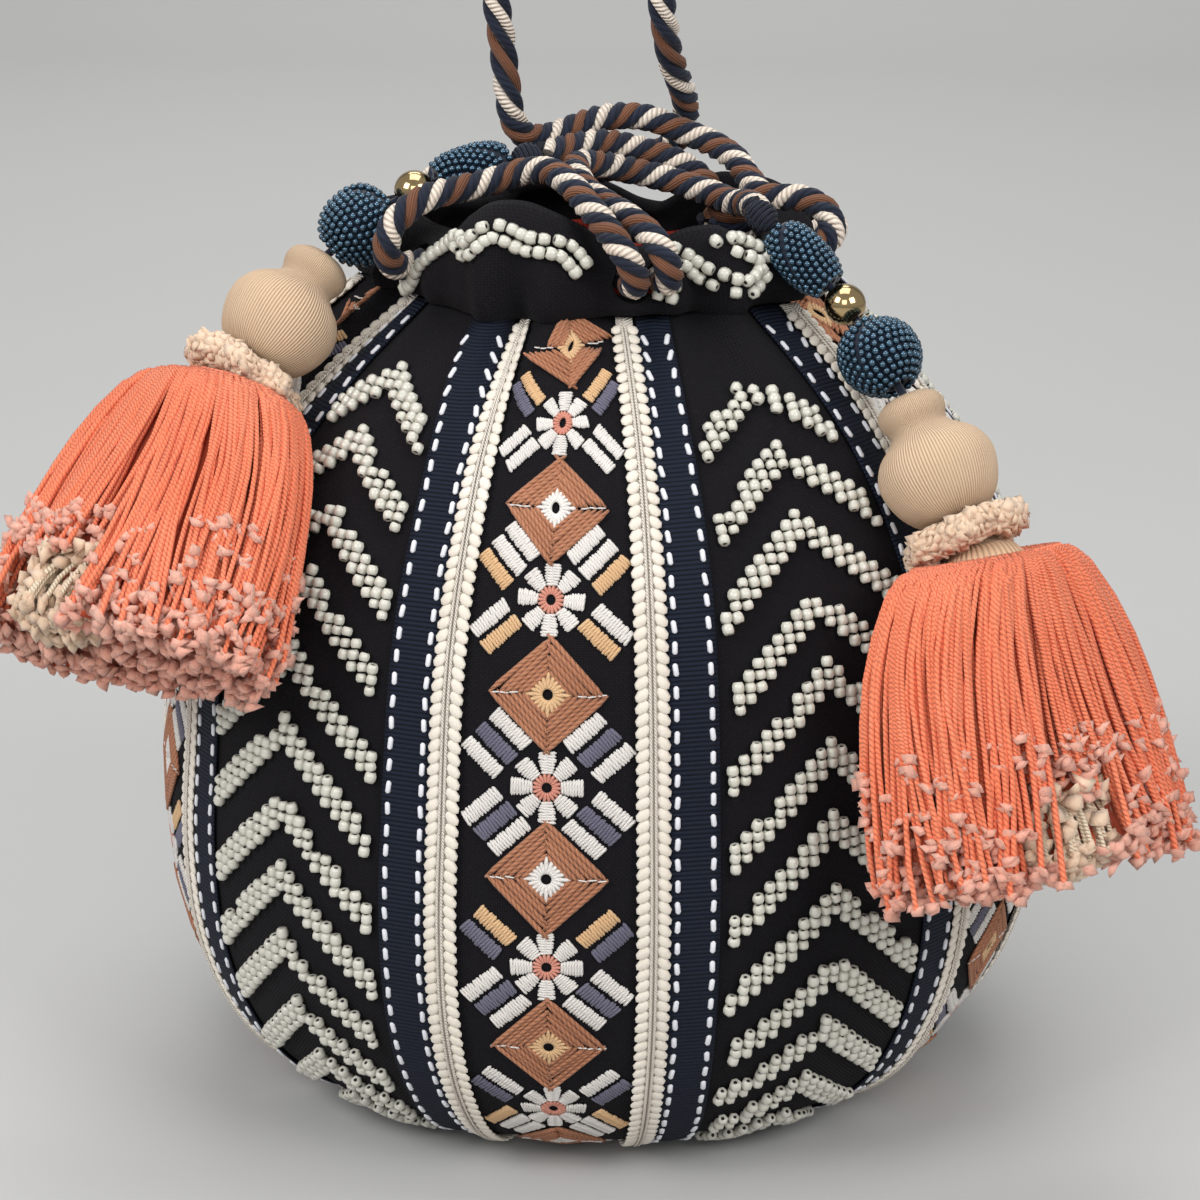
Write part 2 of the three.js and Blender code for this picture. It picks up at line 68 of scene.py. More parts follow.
camera_data = bpy.data.cameras.new("camera")
camera_data.lens = 108.57
camera_data.sensor_width = 36
camera_data.shift_x, camera_data.shift_y = 1 / 1200, 23 / 1200
camera = bpy.data.objects.new("camera", camera_data)
toward = seen_from(CAMERA_RISE, CAMERA_TURN)
camera.location = CAMERA_AIM + toward * CAMERA_DISTANCE
camera.rotation_euler = toward.to_track_quat("Z", "Y").to_euler()
scene.collection.objects.link(camera)
scene.camera = camera

# %% [markdown]
# ## Materials: the helpers
# Every finish here is a node material. One helper adds a node and fills its sockets with a
# value or a link, so that a material reads as a short list of steps.

# %% Material helpers
def add_node(tree, kind, inputs=None, **settings):
    node = tree.nodes.new("ShaderNode" + kind)
    for name, value in settings.items():
        setattr(node, name, value)
    for name, value in (inputs or {}).items():
        if isinstance(value, bpy.types.NodeSocket):
            tree.links.new(value, node.inputs[name])
        else:
            node.inputs[name].default_value = value
    return node


def maths(tree, operation, first, second=0.0, third=0.0):
    node = add_node(tree, "Math", {0: first, 1: second, 2: third}, operation=operation)
    return node.outputs[0]


def mixed(tree, factor, first, second):
    node = tree.nodes.new("ShaderNodeMix")
    node.data_type = "RGBA"
    for index, value in ((0, factor), (6, first), (7, second)):
        if isinstance(value, bpy.types.NodeSocket):
            tree.links.new(value, node.inputs[index])
        else:
            node.inputs[index].default_value = value if index == 0 else (*value[:3], 1)
    return node.outputs[2]


def srgb(red, green, blue):
    def linear(value):
        value /= 255
        return value / 12.92 if value <= 0.04045 else ((value + 0.055) / 1.055) ** 2.4
    return linear(red), linear(green), linear(blue)


def start_material(name, colour, roughness, **shader_values):
    material = bpy.data.materials.new(name)
    material.use_nodes = True
    shader = material.node_tree.nodes["Principled BSDF"]
    shader.inputs["Base Color"].default_value = (*colour, 1)
    shader.inputs["Roughness"].default_value = roughness
    for socket, value in shader_values.items():
        shader.inputs[socket.replace("_", " ")].default_value = value
    return material, material.node_tree, shader


def start_group(name, inputs, outputs):
    group = bpy.data.node_groups.new(name, "ShaderNodeTree")
    for socket, kind, value in inputs:
        made = group.interface.new_socket(socket, in_out="INPUT", socket_type="NodeSocket" + kind)
        if value is not None:
            made.default_value = value
    for socket, kind in outputs:
        group.interface.new_socket(socket, in_out="OUTPUT", socket_type="NodeSocket" + kind)
    return group, group.nodes.new("NodeGroupInput"), group.nodes.new("NodeGroupOutput")


def place_group(tree, group, inputs):
    node = tree.nodes.new("ShaderNodeGroup")
    node.node_tree = group
    for name, value in inputs.items():
        if isinstance(value, bpy.types.NodeSocket):
            tree.links.new(value, node.inputs[name])
        else:
            node.inputs[name].default_value = value
    return node


def raise_surface(tree, shader, height, distance):
    bump = add_node(tree, "Bump", {"Height": height, "Distance": distance, "Strength": 1.0})
    tree.links.new(bump.outputs["Normal"], shader.inputs["Normal"])


def pattern_space(tree, source="UV"):
    return add_node(tree, "TexCoord").outputs[source]

# %% [markdown]
# ## Shared effects
# Three effects come back on many pieces: the over and under of woven cloth, the slanted
# ridges of twisted yarn, and the soft unevenness of fibres. Each is one node group.

# %% Woven cloth, twisted yarn and fibre groups
def woven_cloth():
    group, given, result = start_group(
        "woven cloth", [("Vector", "Vector", None), ("Pitch", "Float", 0.4)],
        [("Height", "Float"), ("Lint", "Float")])
    axes = add_node(group, "SeparateXYZ", {0: given.outputs["Vector"]})
    turns = maths(group, "DIVIDE", math.tau / 2, given.outputs["Pitch"])
    across = maths(group, "SINE", maths(group, "MULTIPLY", axes.outputs[0], turns))
    along = maths(group, "SINE", maths(group, "MULTIPLY", axes.outputs[1], turns))
    checks = maths(group, "MULTIPLY", across, along)
    ribs = maths(group, "ABSOLUTE", across)
    weft = maths(group, "ABSOLUTE", along)
    over = maths(group, "GREATER_THAN", checks, 0.0)
    height = add_node(group, "Mix", {0: over, 2: ribs, 3: weft}).outputs[0]
    group.links.new(height, result.inputs["Height"])
    specks = add_node(group, "TexNoise", {"Vector": given.outputs["Vector"], "Scale": 0.9,
                                          "Detail": 6.0, "Roughness": 0.7})
    lint = add_node(group, "MapRange", {0: specks.outputs[0], 1: 0.55, 2: 0.8})
    group.links.new(lint.outputs[0], result.inputs["Lint"])
    return group


def twisted_yarn():
    group, given, result = start_group(
        "twisted yarn",
        [("Around", "Float", 0.0), ("Along", "Float", 0.0), ("Plies", "Float", 2.0),
         ("Pitch", "Float", 2.0)],
        [("Height", "Float"), ("Groove Shade", "Float")])
    turns = maths(group, "DIVIDE", given.outputs["Along"], given.outputs["Pitch"])
    slant = maths(group, "MULTIPLY_ADD", given.outputs["Around"], given.outputs["Plies"], turns)
    wave = maths(group, "SINE", maths(group, "MULTIPLY", slant, math.pi))
    ridge = maths(group, "ABSOLUTE", wave)
    group.links.new(ridge, result.inputs["Height"])
    # The groove mask tells the yarn materials where to paint shade between the plies.
    groove_shade = maths(group, "POWER", maths(group, "SUBTRACT", 1.0, ridge), 3.0)
    group.links.new(groove_shade, result.inputs["Groove Shade"])
    return group


def soft_fibres():
    group, given, result = start_group(
        "soft fibres", [("Vector", "Vector", None), ("Scale", "Float", 400.0)],
        [("Height", "Float"), ("Patches", "Float")])
    fine = add_node(group, "TexNoise", {"Vector": given.outputs["Vector"],
                                        "Scale": given.outputs["Scale"], "Detail": 5.0,
                                        "Roughness": 0.65})
    broad = add_node(group, "TexNoise", {"Vector": given.outputs["Vector"], "Scale": 45.0,
                                         "Detail": 3.0})
    group.links.new(fine.outputs[0], result.inputs["Height"])
    group.links.new(broad.outputs[0], result.inputs["Patches"])
    return group


WEAVE, TWIST, FIBRES = woven_cloth(), twisted_yarn(), soft_fibres()

# %% [markdown]
# ## Yarn, cloth and metal
# A yarn material reads the tube's own UV map, where U runs round the tube and V along it.
# Cloth reads a UV map in millimetres, so its weave keeps one size on every panel.

# %% Make the finishes
def fibres_in(tree, scale):
    return place_group(tree, FIBRES, {"Vector": pattern_space(tree, "Object"),
                                      "Scale": scale})


def yarn_material(name, colour, deep, pitch, plies=2.0, bump=0.18, roughness=0.8,
                  groove_shade_share=0.7):
    """Twisted yarn. Its grooves between the plies get painted shade. Its pitch and its bump are
    in millimetres.
    """
    material, tree, shader = start_material(name, colour, roughness, Sheen_Weight=0.1,
                                            Sheen_Roughness=0.5, Specular_IOR_Level=0.25)
    axes = add_node(tree, "SeparateXYZ", {0: pattern_space(tree)})
    twist = place_group(tree, TWIST, {"Around": axes.outputs[0], "Along": axes.outputs[1],
                                      "Plies": plies, "Pitch": pitch})
    fibres = fibres_in(tree, 900.0)
    tone = mixed(tree, fibres.outputs["Patches"], colour, deep)
    # Painted shade: in the grooves the tone goes towards half the deep colour.
    tone = mixed(tree, maths(tree, "MULTIPLY", twist.outputs["Groove Shade"], groove_shade_share), tone,
                 tuple(value * 0.5 for value in deep))
    tree.links.new(tone, shader.inputs["Base Color"])
    height = maths(tree, "MULTIPLY_ADD", fibres.outputs["Height"], 0.35,
                   twist.outputs["Height"])
    raise_surface(tree, shader, height, bump * MM)
    return material


def cloth_material(name, colour, lint, pitch, lint_share=0.5):
    """Plain woven cotton, with specks of lint. The raised threads get a painted highlight in the
    lint colour.
    """
    material, tree, shader = start_material(name, colour, 0.95, Sheen_Weight=0.02,
                                            Sheen_Roughness=0.4, Specular_IOR_Level=0.12)
    weave = place_group(tree, WEAVE, {"Vector": pattern_space(tree), "Pitch": pitch})
    share = maths(tree, "MULTIPLY", weave.outputs["Lint"], lint_share)
    # Painted highlight: the raised threads are mixed towards the lint colour, as well as the lint
    # specks.
    threads = maths(tree, "MULTIPLY_ADD", weave.outputs["Height"], 0.35, share)
    tree.links.new(mixed(tree, threads, colour, lint), shader.inputs["Base Color"])
    raise_surface(tree, shader, weave.outputs["Height"], 0.12 * MM)
    return material


def ribbed_material(name, colour, rib_highlight, rib):
    """Grosgrain: thick ribs across the ribbon, and a fine weave on them. The raised ribs and
    threads get a painted highlight.
    """
    material, tree, shader = start_material(name, colour, 0.7, Specular_IOR_Level=0.2)
    axes = add_node(tree, "SeparateXYZ", {0: pattern_space(tree)})
    wave = maths(tree, "SINE", maths(tree, "MULTIPLY", axes.outputs[1], math.pi / rib))
    ribs = maths(tree, "ABSOLUTE", wave)
    weave = place_group(tree, WEAVE, {"Vector": pattern_space(tree), "Pitch": 0.4})
    height = maths(tree, "MULTIPLY_ADD", weave.outputs["Height"], 0.2, ribs)
    # Painted highlight: the raised ribs and threads are mixed towards the lighter colour.
    tree.links.new(mixed(tree, maths(tree, "MULTIPLY", height, 0.8), colour, rib_highlight),
                   shader.inputs["Base Color"])
    raise_surface(tree, shader, height, 0.3 * MM)
    return material


def plait_material(name, colour, deep, pitch):
    """Flat plait: fine threads that slant away from a furrow down the middle. The furrow and the
    gaps between threads get painted shade in the deep colour.
    """
    material, tree, shader = start_material(name, colour, 0.8, Sheen_Weight=0.1,
                                            Specular_IOR_Level=0.25)
    axes = add_node(tree, "SeparateXYZ", {0: pattern_space(tree)})
    out = maths(tree, "ABSOLUTE", axes.outputs[0])
    twist = place_group(tree, TWIST, {"Around": out, "Along": axes.outputs[1],
                                      "Plies": -0.9, "Pitch": pitch})
    furrow = add_node(tree, "MapRange", {0: out, 1: 0.1, 2: 0.35}).outputs[0]
    height = maths(tree, "MULTIPLY", twist.outputs["Height"], furrow)
    # Painted shade: the low furrow and the gaps between threads take the deep colour.
    tree.links.new(mixed(tree, maths(tree, "POWER", height, 0.5), deep, colour),
                   shader.inputs["Base Color"])
    raise_surface(tree, shader, height, 0.35 * MM)
    return material


def fibre_material(name, colour, deep, scale=900.0, bump=0.15):
    """Loose or fluffy fibres, with no weave or twist that can be seen."""
    material, tree, shader = start_material(name, colour, 0.85, Sheen_Weight=0.3,
                                            Sheen_Roughness=0.5, Specular_IOR_Level=0.25)
    fibres = fibres_in(tree, scale)
    tone = mixed(tree, fibres.outputs["Patches"], colour, deep)
    tree.links.new(tone, shader.inputs["Base Color"])
    raise_surface(tree, shader, fibres.outputs["Height"], bump * MM)
    return material


def bead_material(name, colour, second, roughness, metallic=0.0, coat=0.6):
    material, tree, shader = start_material(name, colour, roughness, Metallic=metallic,
                                            Coat_Weight=coat, Coat_Roughness=0.08)
    tree.links.new(mixed(tree, fibres_in(tree, 350.0).outputs["Height"], colour, second),
                   shader.inputs["Base Color"])
    return material


BLACK_CLOTH = cloth_material("black cotton", srgb(13, 12, 15), srgb(42, 39, 43), 0.55,
                             lint_share=0.4)
LINING_CLOTH = cloth_material("coral lining cotton", srgb(176, 52, 44), srgb(206, 88, 76), 0.6)
NAVY_RIBBON = ribbed_material("navy grosgrain", srgb(6, 9, 17), srgb(22, 31, 49), 1.05)
WHITE_STITCH = fibre_material("white stitching thread", srgb(238, 238, 242),
                              srgb(206, 208, 216))
FLOSS = [
    yarn_material(name + " floss", srgb(*colour), srgb(*deep), pitch, bump=bump,
                  groove_shade_share=groove_shade_share)
    for name, colour, deep, pitch, bump, groove_shade_share in (
        ("white", (236, 232, 226), (212, 206, 202), 1.5, 0.1, 0.3),
        ("beige", (226, 192, 150), (204, 164, 120), 1.5, 0.1, 0.3),
        ("slate", (122, 120, 136), (92, 90, 108), 1.5, 0.1, 0.3),
        ("copper", (196, 138, 106), (152, 96, 66), 1.7, 0.22, 0.55),
        ("salmon", (222, 160, 140), (196, 126, 108), 1.5, 0.1, 0.3))]
CREAM_BRAID = plait_material("cream braid", srgb(240, 232, 220), srgb(206, 194, 176), 0.8)
BRAID_LOOP = fibre_material("cream braid loops", srgb(236, 229, 218), srgb(216, 206, 190))
BODY_BEAD = bead_material("pearly seed bead", srgb(218, 215, 206), srgb(188, 187, 171), 0.2)
# Painted shade: a dark colour for the flat discs in the bead holes.
BEAD_HOLE_SHADE = start_material("bead hole shade", srgb(24, 22, 22), 0.9)[0]
BLUE_BEAD = bead_material("blue metallic bead", srgb(12, 24, 42), srgb(74, 116, 142), 0.12,
                          metallic=0.75, coat=0.8)
NAVY_THREAD = fibre_material("navy thread", srgb(22, 28, 44), srgb(34, 42, 60))
print("finishes:", len(bpy.data.materials))

# %% [markdown]
# ## Finishing a piece
# A piece is worked out in millimetres. At the end its mesh is scaled to metres, its faces
# are set smooth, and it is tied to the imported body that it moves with.

# %% Helpers that finish a piece
triangle_counts = {}


def finish_piece(name, mesh, materials, body="bag", replaces=()):
    mesh.name = name
    mesh.transform(Matrix.Scale(MM, 4))
    for material in materials:
        mesh.materials.append(material)
    mesh.polygons.foreach_set("use_smooth", [True] * len(mesh.polygons))
    mesh.calc_loop_triangles()
    triangle_counts[name] = len(mesh.loop_triangles)
    piece = bpy.data.objects.new(name, mesh)
    scene.collection.objects.link(piece)
    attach(piece, body)
    if replaces:
        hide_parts(*replaces)
    return piece


def mesh_from(bm):
    mesh = bpy.data.meshes.new("work")
    bm.to_mesh(mesh)
    bm.free()
    return mesh


def spun(profile, steps, closed_ends=True):
    """Turns a line of (radius, height) points round Z."""
    bm = bmesh.new()
    line = [bm.verts.new((radius, 0, height)) for radius, height in profile]
    edges = [bm.edges.new(pair) for pair in zip(line, line[1:])]
    bmesh.ops.spin(bm, geom=line + edges, cent=(0, 0, 0), axis=(0, 0, 1), angle=math.tau,
                   steps=steps, use_merge=True)
    bmesh.ops.remove_doubles(bm, verts=bm.verts, dist=1e-4)
    if closed_ends:
        bmesh.ops.holes_fill(bm, edges=bm.edges, sides=steps + 1)
    bmesh.ops.recalc_face_normals(bm, faces=bm.faces)
    return bm


def lay_uv(bm, spot_of):
    """Makes a UV map from the spot that each vertex is given."""
    uv_layer = bm.loops.layers.uv.new("UVMap")
    for face in bm.faces:
        for loop in face.loops:
            loop[uv_layer].uv = spot_of(loop.vert)


def tubes(lines, thickness, resolution=1):
    """Round threads along lines. U goes round a thread, V runs along it in millimetres."""
    curve = bpy.data.curves.new("threads", "CURVE")
    curve.dimensions = "3D"
    curve.bevel_depth = thickness / 2
    curve.bevel_resolution = resolution
    curve.use_fill_caps = True
    for line in lines:
        spline = curve.splines.new("POLY")
        spline.points.add(len(line) - 1)
        flat = np.ones((len(line), 4))
        flat[:, :3] = line
        spline.points.foreach_set("co", flat.ravel())
    holder = bpy.data.objects.new("threads", curve)
    scene.collection.objects.link(holder)
    graph = bpy.context.evaluated_depsgraph_get()
    mesh = bpy.data.meshes.new_from_object(holder.evaluated_get(graph))
    bpy.data.objects.remove(holder)
    bpy.data.curves.remove(curve)
    mesh.materials.clear()
    length = np.mean([np.linalg.norm(np.diff(line, axis=0), axis=1).sum() for line in lines])
    spots = np.empty(2 * len(mesh.loops))
    mesh.uv_layers[0].data.foreach_get("uv", spots)
    spots = spots.reshape(-1, 2)[:, ::-1] * (1, length)
    mesh.uv_layers[0].data.foreach_set("uv", spots.ravel())
    return mesh


def gather_meshes(parts):
    """Joins meshes into one, giving each part's faces its own material number."""
    bm = bmesh.new()
    for number, mesh in parts:
        mesh.polygons.foreach_set("material_index", [number] * len(mesh.polygons))
        bm.from_mesh(mesh)
        bpy.data.meshes.remove(mesh)
    return mesh_from(bm)

# %% [markdown]
# ## Cords
# Each cord is a rope of four strands laid round each other: one cream, two navy and one
# brown. A rope could be a plain tube with a twisted bump, but here the strands cast their
# own shadows, so each is a tube that winds round the cord's line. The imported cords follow
# the same points.

# %% Routes of the cords
STRAP_ROUTE = [
    (37, -9, 206), (43.5, -10.9, 206), (51, -12.3, 206.8), (56, -12.2, 210.3),
    (55.5, -9, 215.5), (49.5, -6, 218.5), (40, -2.5, 218.5), (36, 6, 220.5), (31.5, 14, 224.5),
    (25, 19, 227.5), (18, 21, 229.8), (9, 21, 233), (0, 17, 233.5), (-8, 12, 231.5),
    (-14, 7.5, 230), (-18.5, 4, 231), (-21, 2.5, 235), (-22, 1.5, 242), (-23, 1.5, 250.5),
    (-24, 1.5, 258.5), (-25, 1.5, 267), (-22.5, 1.5, 276.5), (-15.5, 3, 283.5),
    (-6, 4.5, 286), (3.5, 6, 283.5), (10.5, 7, 276.5), (13.5, 7.5, 266.5), (14.5, 10.5, 258),
    (15.5, 16, 249), (17, 23, 242), (18, 31.5, 235), (17, 37.5, 228), (13.5, 40, 223),
    (7, 40, 220), (-1.5, 37, 217.5), (-10.5, 34, 216.5), (-19, 33, 217), (-27.5, 33.5, 217.5),
    (-35.5, 34.5, 218), (-43, 34.8, 216.5), (-47, 33.8, 211.5), (-45.2, 31.7, 207),
    (-40.1, 28.1, 206), (-35.5, 24.9, 206), (-30.5, 21.4, 206),
]
LACING_ROUTE = [
    (-29.5, -22.3, 206), (-34.5, -26, 206), (-39.5, -29.9, 206), (-42.5, -33.8, 206),
    (-44, -39, 207.5), (-44.5, -43, 211.5), (-43.5, -43, 216.5), (-40, -41.5, 220.5),
    (-36, -38.5, 223), (-30.5, -34.5, 224), (-22, -29.5, 225.5), (-15, -28, 227.5),
    (-8, -32, 228.5), (-2.5, -39.5, 227), (3, -48, 223.5), (9, -54.5, 218),
    (13, -57.5, 213), (14.6, -55.5, 208.3), (13.3, -50, 206), (11, -43.2, 206), (8.5, -36, 206),
]
LEFT_DRAWSTRING_ROUTE = [
    (-12.2, -10.2, 228.7), (-10, -7.7, 229), (-6, -2.5, 229.5), (1, 4.3, 229.4),
    (9.5, 9, 227), (18.5, 11.5, 223.5), (25, 11.5, 218.5), (30, 10, 211.5), (36, 11.5, 206.5),
    (43.5, 14.1, 206), (50.4, 16.4, 206), (54.8, 19.8, 206), (55.5, 25.3, 206),
    (53.5, 31.5, 206), (49, 37.5, 206), (42.5, 43, 206), (37.3, 44.6, 206),
    (32.6, 41.8, 206), (28.3, 36.2, 206), (23.5, 30, 206),
]
RIGHT_DRAWSTRING_ROUTE = [
    (40, -26.8, 219.6), (37.5, -17.5, 219.3), (33, -8, 217.8), (25.5, -0.5, 219),
    (16.5, 3, 221), (8, 1.3, 223.2), (1, -5.5, 225.8), (-3.5, -13.5, 227.2),
    (-2.5, -22.5, 226), (1, -32, 224), (7, -40.5, 222.3), (13.5, -48, 220),
    (18.5, -53, 217), (21.3, -54.5, 212.8), (21.8, -52, 208.3), (20, -47, 206),
    (17.8, -40.6, 206), (15.5, -34, 206),
]

# %% A smooth line through points, and the frames along it
def smooth_line(points, spacing, tension=0.5):
    """A Catmull-Rom line through the points, cut into even steps."""
    given = np.array(points, float)
    given = np.vstack([2 * given[0] - given[1], given, 2 * given[-1] - given[-2]])
    gaps = np.linalg.norm(np.diff(given, axis=0), axis=1) ** tension
    knots = np.concatenate([[0], np.cumsum(gaps)])
    dense = []
    for i in range(1, len(given) - 2):
        t = np.linspace(knots[i], knots[i + 1], 24, endpoint=False)[:, None]
        a = [((knots[j + 1] - t) * given[j] + (t - knots[j]) * given[j + 1])
             / (knots[j + 1] - knots[j]) for j in (i - 1, i, i + 1)]
        b = [((knots[j + 2] - t) * a[k] + (t - knots[j]) * a[k + 1])
             / (knots[j + 2] - knots[j]) for k, j in enumerate((i - 1, i))]
        dense.append(((knots[i + 1] - t) * b[0] + (t - knots[i]) * b[1])
                     / (knots[i + 1] - knots[i]))
    dense = np.vstack(dense + [given[-2][None]])
    lengths = np.concatenate([[0], np.cumsum(np.linalg.norm(np.diff(dense, axis=0), axis=1))])
    steps = max(2, round(lengths[-1] / spacing))
    at = np.linspace(0, lengths[-1], steps + 1)
    return np.stack([np.interp(at, lengths, dense[:, k]) for k in range(dense.shape[1])], 1)


NO_CORDS_WAY = (0.3, 0.2, 0.93)


def unit(vectors):
    return vectors / np.linalg.norm(vectors, axis=-1, keepdims=True)


def carried_frames(line):
    """Two directions across the line at each point, turned as little as possible."""
    along = unit(np.gradient(line, axis=0))
    side = np.cross(along[0], NO_CORDS_WAY)
    sides = []
    for direction in along:
        side = side - direction * np.dot(side, direction)
        side = side / np.linalg.norm(side)
        sides.append(side)
    sides = np.array(sides)
    return sides, np.cross(along, sides)

# %% Twist four strands along each cord
STRAND_DIAMETER, STRAND_OFFSET = 2.85, 2.0
# A strand goes round once in a lay length. It's longer where the strap is pulled taut.
LAY_LENGTH, TAUT_LAY_LENGTH, TAUT_HEIGHT, LAY_BLEND = 13.0, 24.0, 238.0, 17
CREAM_STRAND = yarn_material("cream cord strand", srgb(246, 234, 220), srgb(226, 208, 190), 1.15,
                             plies=3.0, bump=0.5, groove_shade_share=0.5)
NAVY_STRAND = yarn_material("navy cord strand", srgb(38, 46, 66), srgb(14, 18, 30), 2.2,
                            plies=5.0, bump=0.22)
BROWN_STRAND = yarn_material("brown cord strand", srgb(148, 98, 70), srgb(96, 58, 40), 24,
                             plies=14.0, bump=0.25)
STRANDS = [CREAM_STRAND, NAVY_STRAND, BROWN_STRAND, NAVY_STRAND]


def rope(name, route):
    line = smooth_line(route, 0.9)
    side, across = carried_frames(line)
    step = np.linalg.norm(line[1] - line[0])
    lay_length = np.where(line[:, 2] > TAUT_HEIGHT, TAUT_LAY_LENGTH, LAY_LENGTH)
    lay_length = np.convolve(np.pad(lay_length, LAY_BLEND // 2, mode="edge"),
                             np.ones(LAY_BLEND) / LAY_BLEND, mode="valid")
    turn = np.cumsum(math.tau * step / lay_length)
    parts = []
    for number in range(len(STRANDS)):
        angle = (turn + number * math.tau / len(STRANDS))[:, None]
        strand = line + STRAND_OFFSET * (np.cos(angle) * side - np.sin(angle) * across)
        parts.append((number, tubes([strand], STRAND_DIAMETER)))
    piece = finish_piece("twisted_" + name, gather_meshes(parts), STRANDS,
                         replaces=[name])


rope("strap_cord", STRAP_ROUTE)
rope("lacing_cord", LACING_ROUTE)
rope("left_drawstring", LEFT_DRAWSTRING_ROUTE)
rope("right_drawstring", RIGHT_DRAWSTRING_ROUTE)

# %% [markdown]
# ## The wall of the body
# All the panels and trims lie on one rounded wall, so the wall is worked out once, as a grid
# of points. A place on it is an angle round the pouch and a length up from the foot seam.
# The drawstring gathers the cloth, so folds grow towards the neck.

# %% The wall's outline, its folds and its grid
BELLY_RADIUS, NECK_RADIUS, NECK_HEIGHT = 107.5, 49.0, 199.5
BELLY_HEIGHT, FOOT_RADIUS, FOOT_HEIGHT = 68.0, 62.8, 2.4
# The shoulder's shares of the way up from belly to neck, and out from neck to belly.
SHOULDER = ((0.16, 0.985), (0.45, 0.905), (0.67, 0.7), (0.86, 0.37))
# Folds: each has its depth in millimetres, its number round the pouch and its start.
PUFF_COUNT, PUFF_START, GATHER_DEPTH = 5, math.radians(17), 2.8
NECK_PLEATS = ((2.2, 17, 0.6), (1.6, 23, 2.1), (1.1, 31, 4))
BAND_PLEATS = ((1.7, 17, 0.6), (1.3, 23, 2.1), (0.9, 31, 4))


def wall_outline():
    turns = np.radians([0, 18, 36, 54, 72, 90])
    radii = list(FOOT_RADIUS + (BELLY_RADIUS - FOOT_RADIUS) * np.sin(turns))
    heights = list(FOOT_HEIGHT + (BELLY_HEIGHT - FOOT_HEIGHT) * (1 - np.cos(turns)))
    for up, out in SHOULDER:
        radii.append(NECK_RADIUS + (BELLY_RADIUS - NECK_RADIUS) * out)
        heights.append(BELLY_HEIGHT + (NECK_HEIGHT - BELLY_HEIGHT) * up)
    radii.append(NECK_RADIUS)
    heights.append(NECK_HEIGHT)
    return smooth_line(np.stack([radii, heights], 1), 2.0, tension=0.001)


outline = wall_outline()
WALL_LENGTH = float(np.sum(np.linalg.norm(np.diff(outline, axis=0), axis=1)))
ROWS, COLUMNS = len(outline), 720


def eased(start, stop, value):
    share = np.clip((value - start) / (stop - start), 0, 1)
    return share * share * (3 - 2 * share)


def waves(angle, folds):
    return sum(depth * np.cos(count * angle + start) for depth, count, start in folds)


def fold(angle, height):
    """How far the cloth stands out of the plain outline, in millimetres."""
    gather = eased(150, NECK_HEIGHT, height)
    puffs = GATHER_DEPTH * gather * np.cos(PUFF_COUNT * (angle + PUFF_START))
    near_neck = eased(166, NECK_HEIGHT, height)
    pleats = waves(angle, NECK_PLEATS)
    soft = 1.5 * eased(110, 190, height) * np.cos(9 * angle + 1.2 + height / 40)
    belly = 0.7 * np.cos(3 * angle + 1) * np.sin(height / 31) + 0.5 * np.cos(
        7 * angle + height / 25)
    puckers = 0.5 * (1 - eased(4, 30, height)) * np.cos(36 * angle + 0.4)
    return puffs + near_neck * pleats + soft + belly * eased(5, 30, height) + puckers


def wall_grid():
    angle = np.arange(COLUMNS) * math.tau / COLUMNS
    height = outline[:, 1][:, None]
    radius = outline[:, 0][:, None] + fold(angle[None], height)
    grid = np.empty((ROWS, COLUMNS, 3))
    grid[..., 0] = radius * np.sin(angle)
    grid[..., 1] = -radius * np.cos(angle)
    grid[..., 2] = height
    return grid


def grid_normals(grid):
    around = np.roll(grid, -1, 1) - np.roll(grid, 1, 1)
    up = np.gradient(grid, axis=0)
    return unit(np.cross(around, up))


wall = wall_grid()
wall_out = grid_normals(wall)
print("wall:", wall.shape, "length", round(WALL_LENGTH, 1))

# %% Find a place on the wall
def on_wall(angles, lengths, lifts=0.0):
    """Points at angles in degrees and lengths up the wall, lifted off it."""
    angles, lengths, lifts = np.broadcast_arrays(
        np.asarray(angles, float), np.asarray(lengths, float), np.asarray(lifts, float))
    column = np.mod(angles / 360 * COLUMNS, COLUMNS)
    row = np.clip(lengths / WALL_LENGTH * (ROWS - 1), 0, ROWS - 1.001)
    c0, r0 = np.floor(column).astype(int) % COLUMNS, np.floor(row).astype(int)
    c1, r1 = (c0 + 1) % COLUMNS, r0 + 1
    fc, fr = (column - np.floor(column))[..., None], (row - r0)[..., None]

    def blend(table):
        low = table[r0, c0] * (1 - fc) + table[r0, c1] * fc
        high = table[r1, c0] * (1 - fc) + table[r1, c1] * fc
        return low * (1 - fr) + high * fr
    return blend(wall) + unit(blend(wall_out)) * lifts[..., None]


def radius_at(length):
    return np.interp(length, np.linspace(0, WALL_LENGTH, ROWS), outline[:, 0])


def angle_of(sideways, length):
    """Turns millimetres sideways on the wall into degrees."""
    return np.degrees(np.asarray(sideways) / radius_at(length))


def wall_frame(angle, length, lift=0.0):
    """A matrix whose X runs round the wall, Y up it and Z out of it."""
    here, right, above = on_wall([angle, angle + 0.5, angle], [length, length, length + 0.8],
                                 lift)
    x = Vector(right - here).normalized()
    z = x.cross(Vector(above - here)).normalized()
    y = z.cross(x)
    frame_matrix = Matrix((x, y, z)).transposed().to_4x4()
    frame_matrix.translation = Vector(here)
    return frame_matrix

# %% [markdown]
# ## Panels
# A panel is a flat strip of black cloth. It starts as a grid, and each point is moved to
# its place on the wall, between the seams. Solidify gives the cloth its thickness.

# %% Sew the ten panels
REPEATS, SEAM_ANGLE = 5, 17.7
HALF_REPEAT = 180 / REPEATS
PANEL_THICKNESS, PANEL_CELLS, SEAM_GAP = 1.2, (18, 76), 0.35


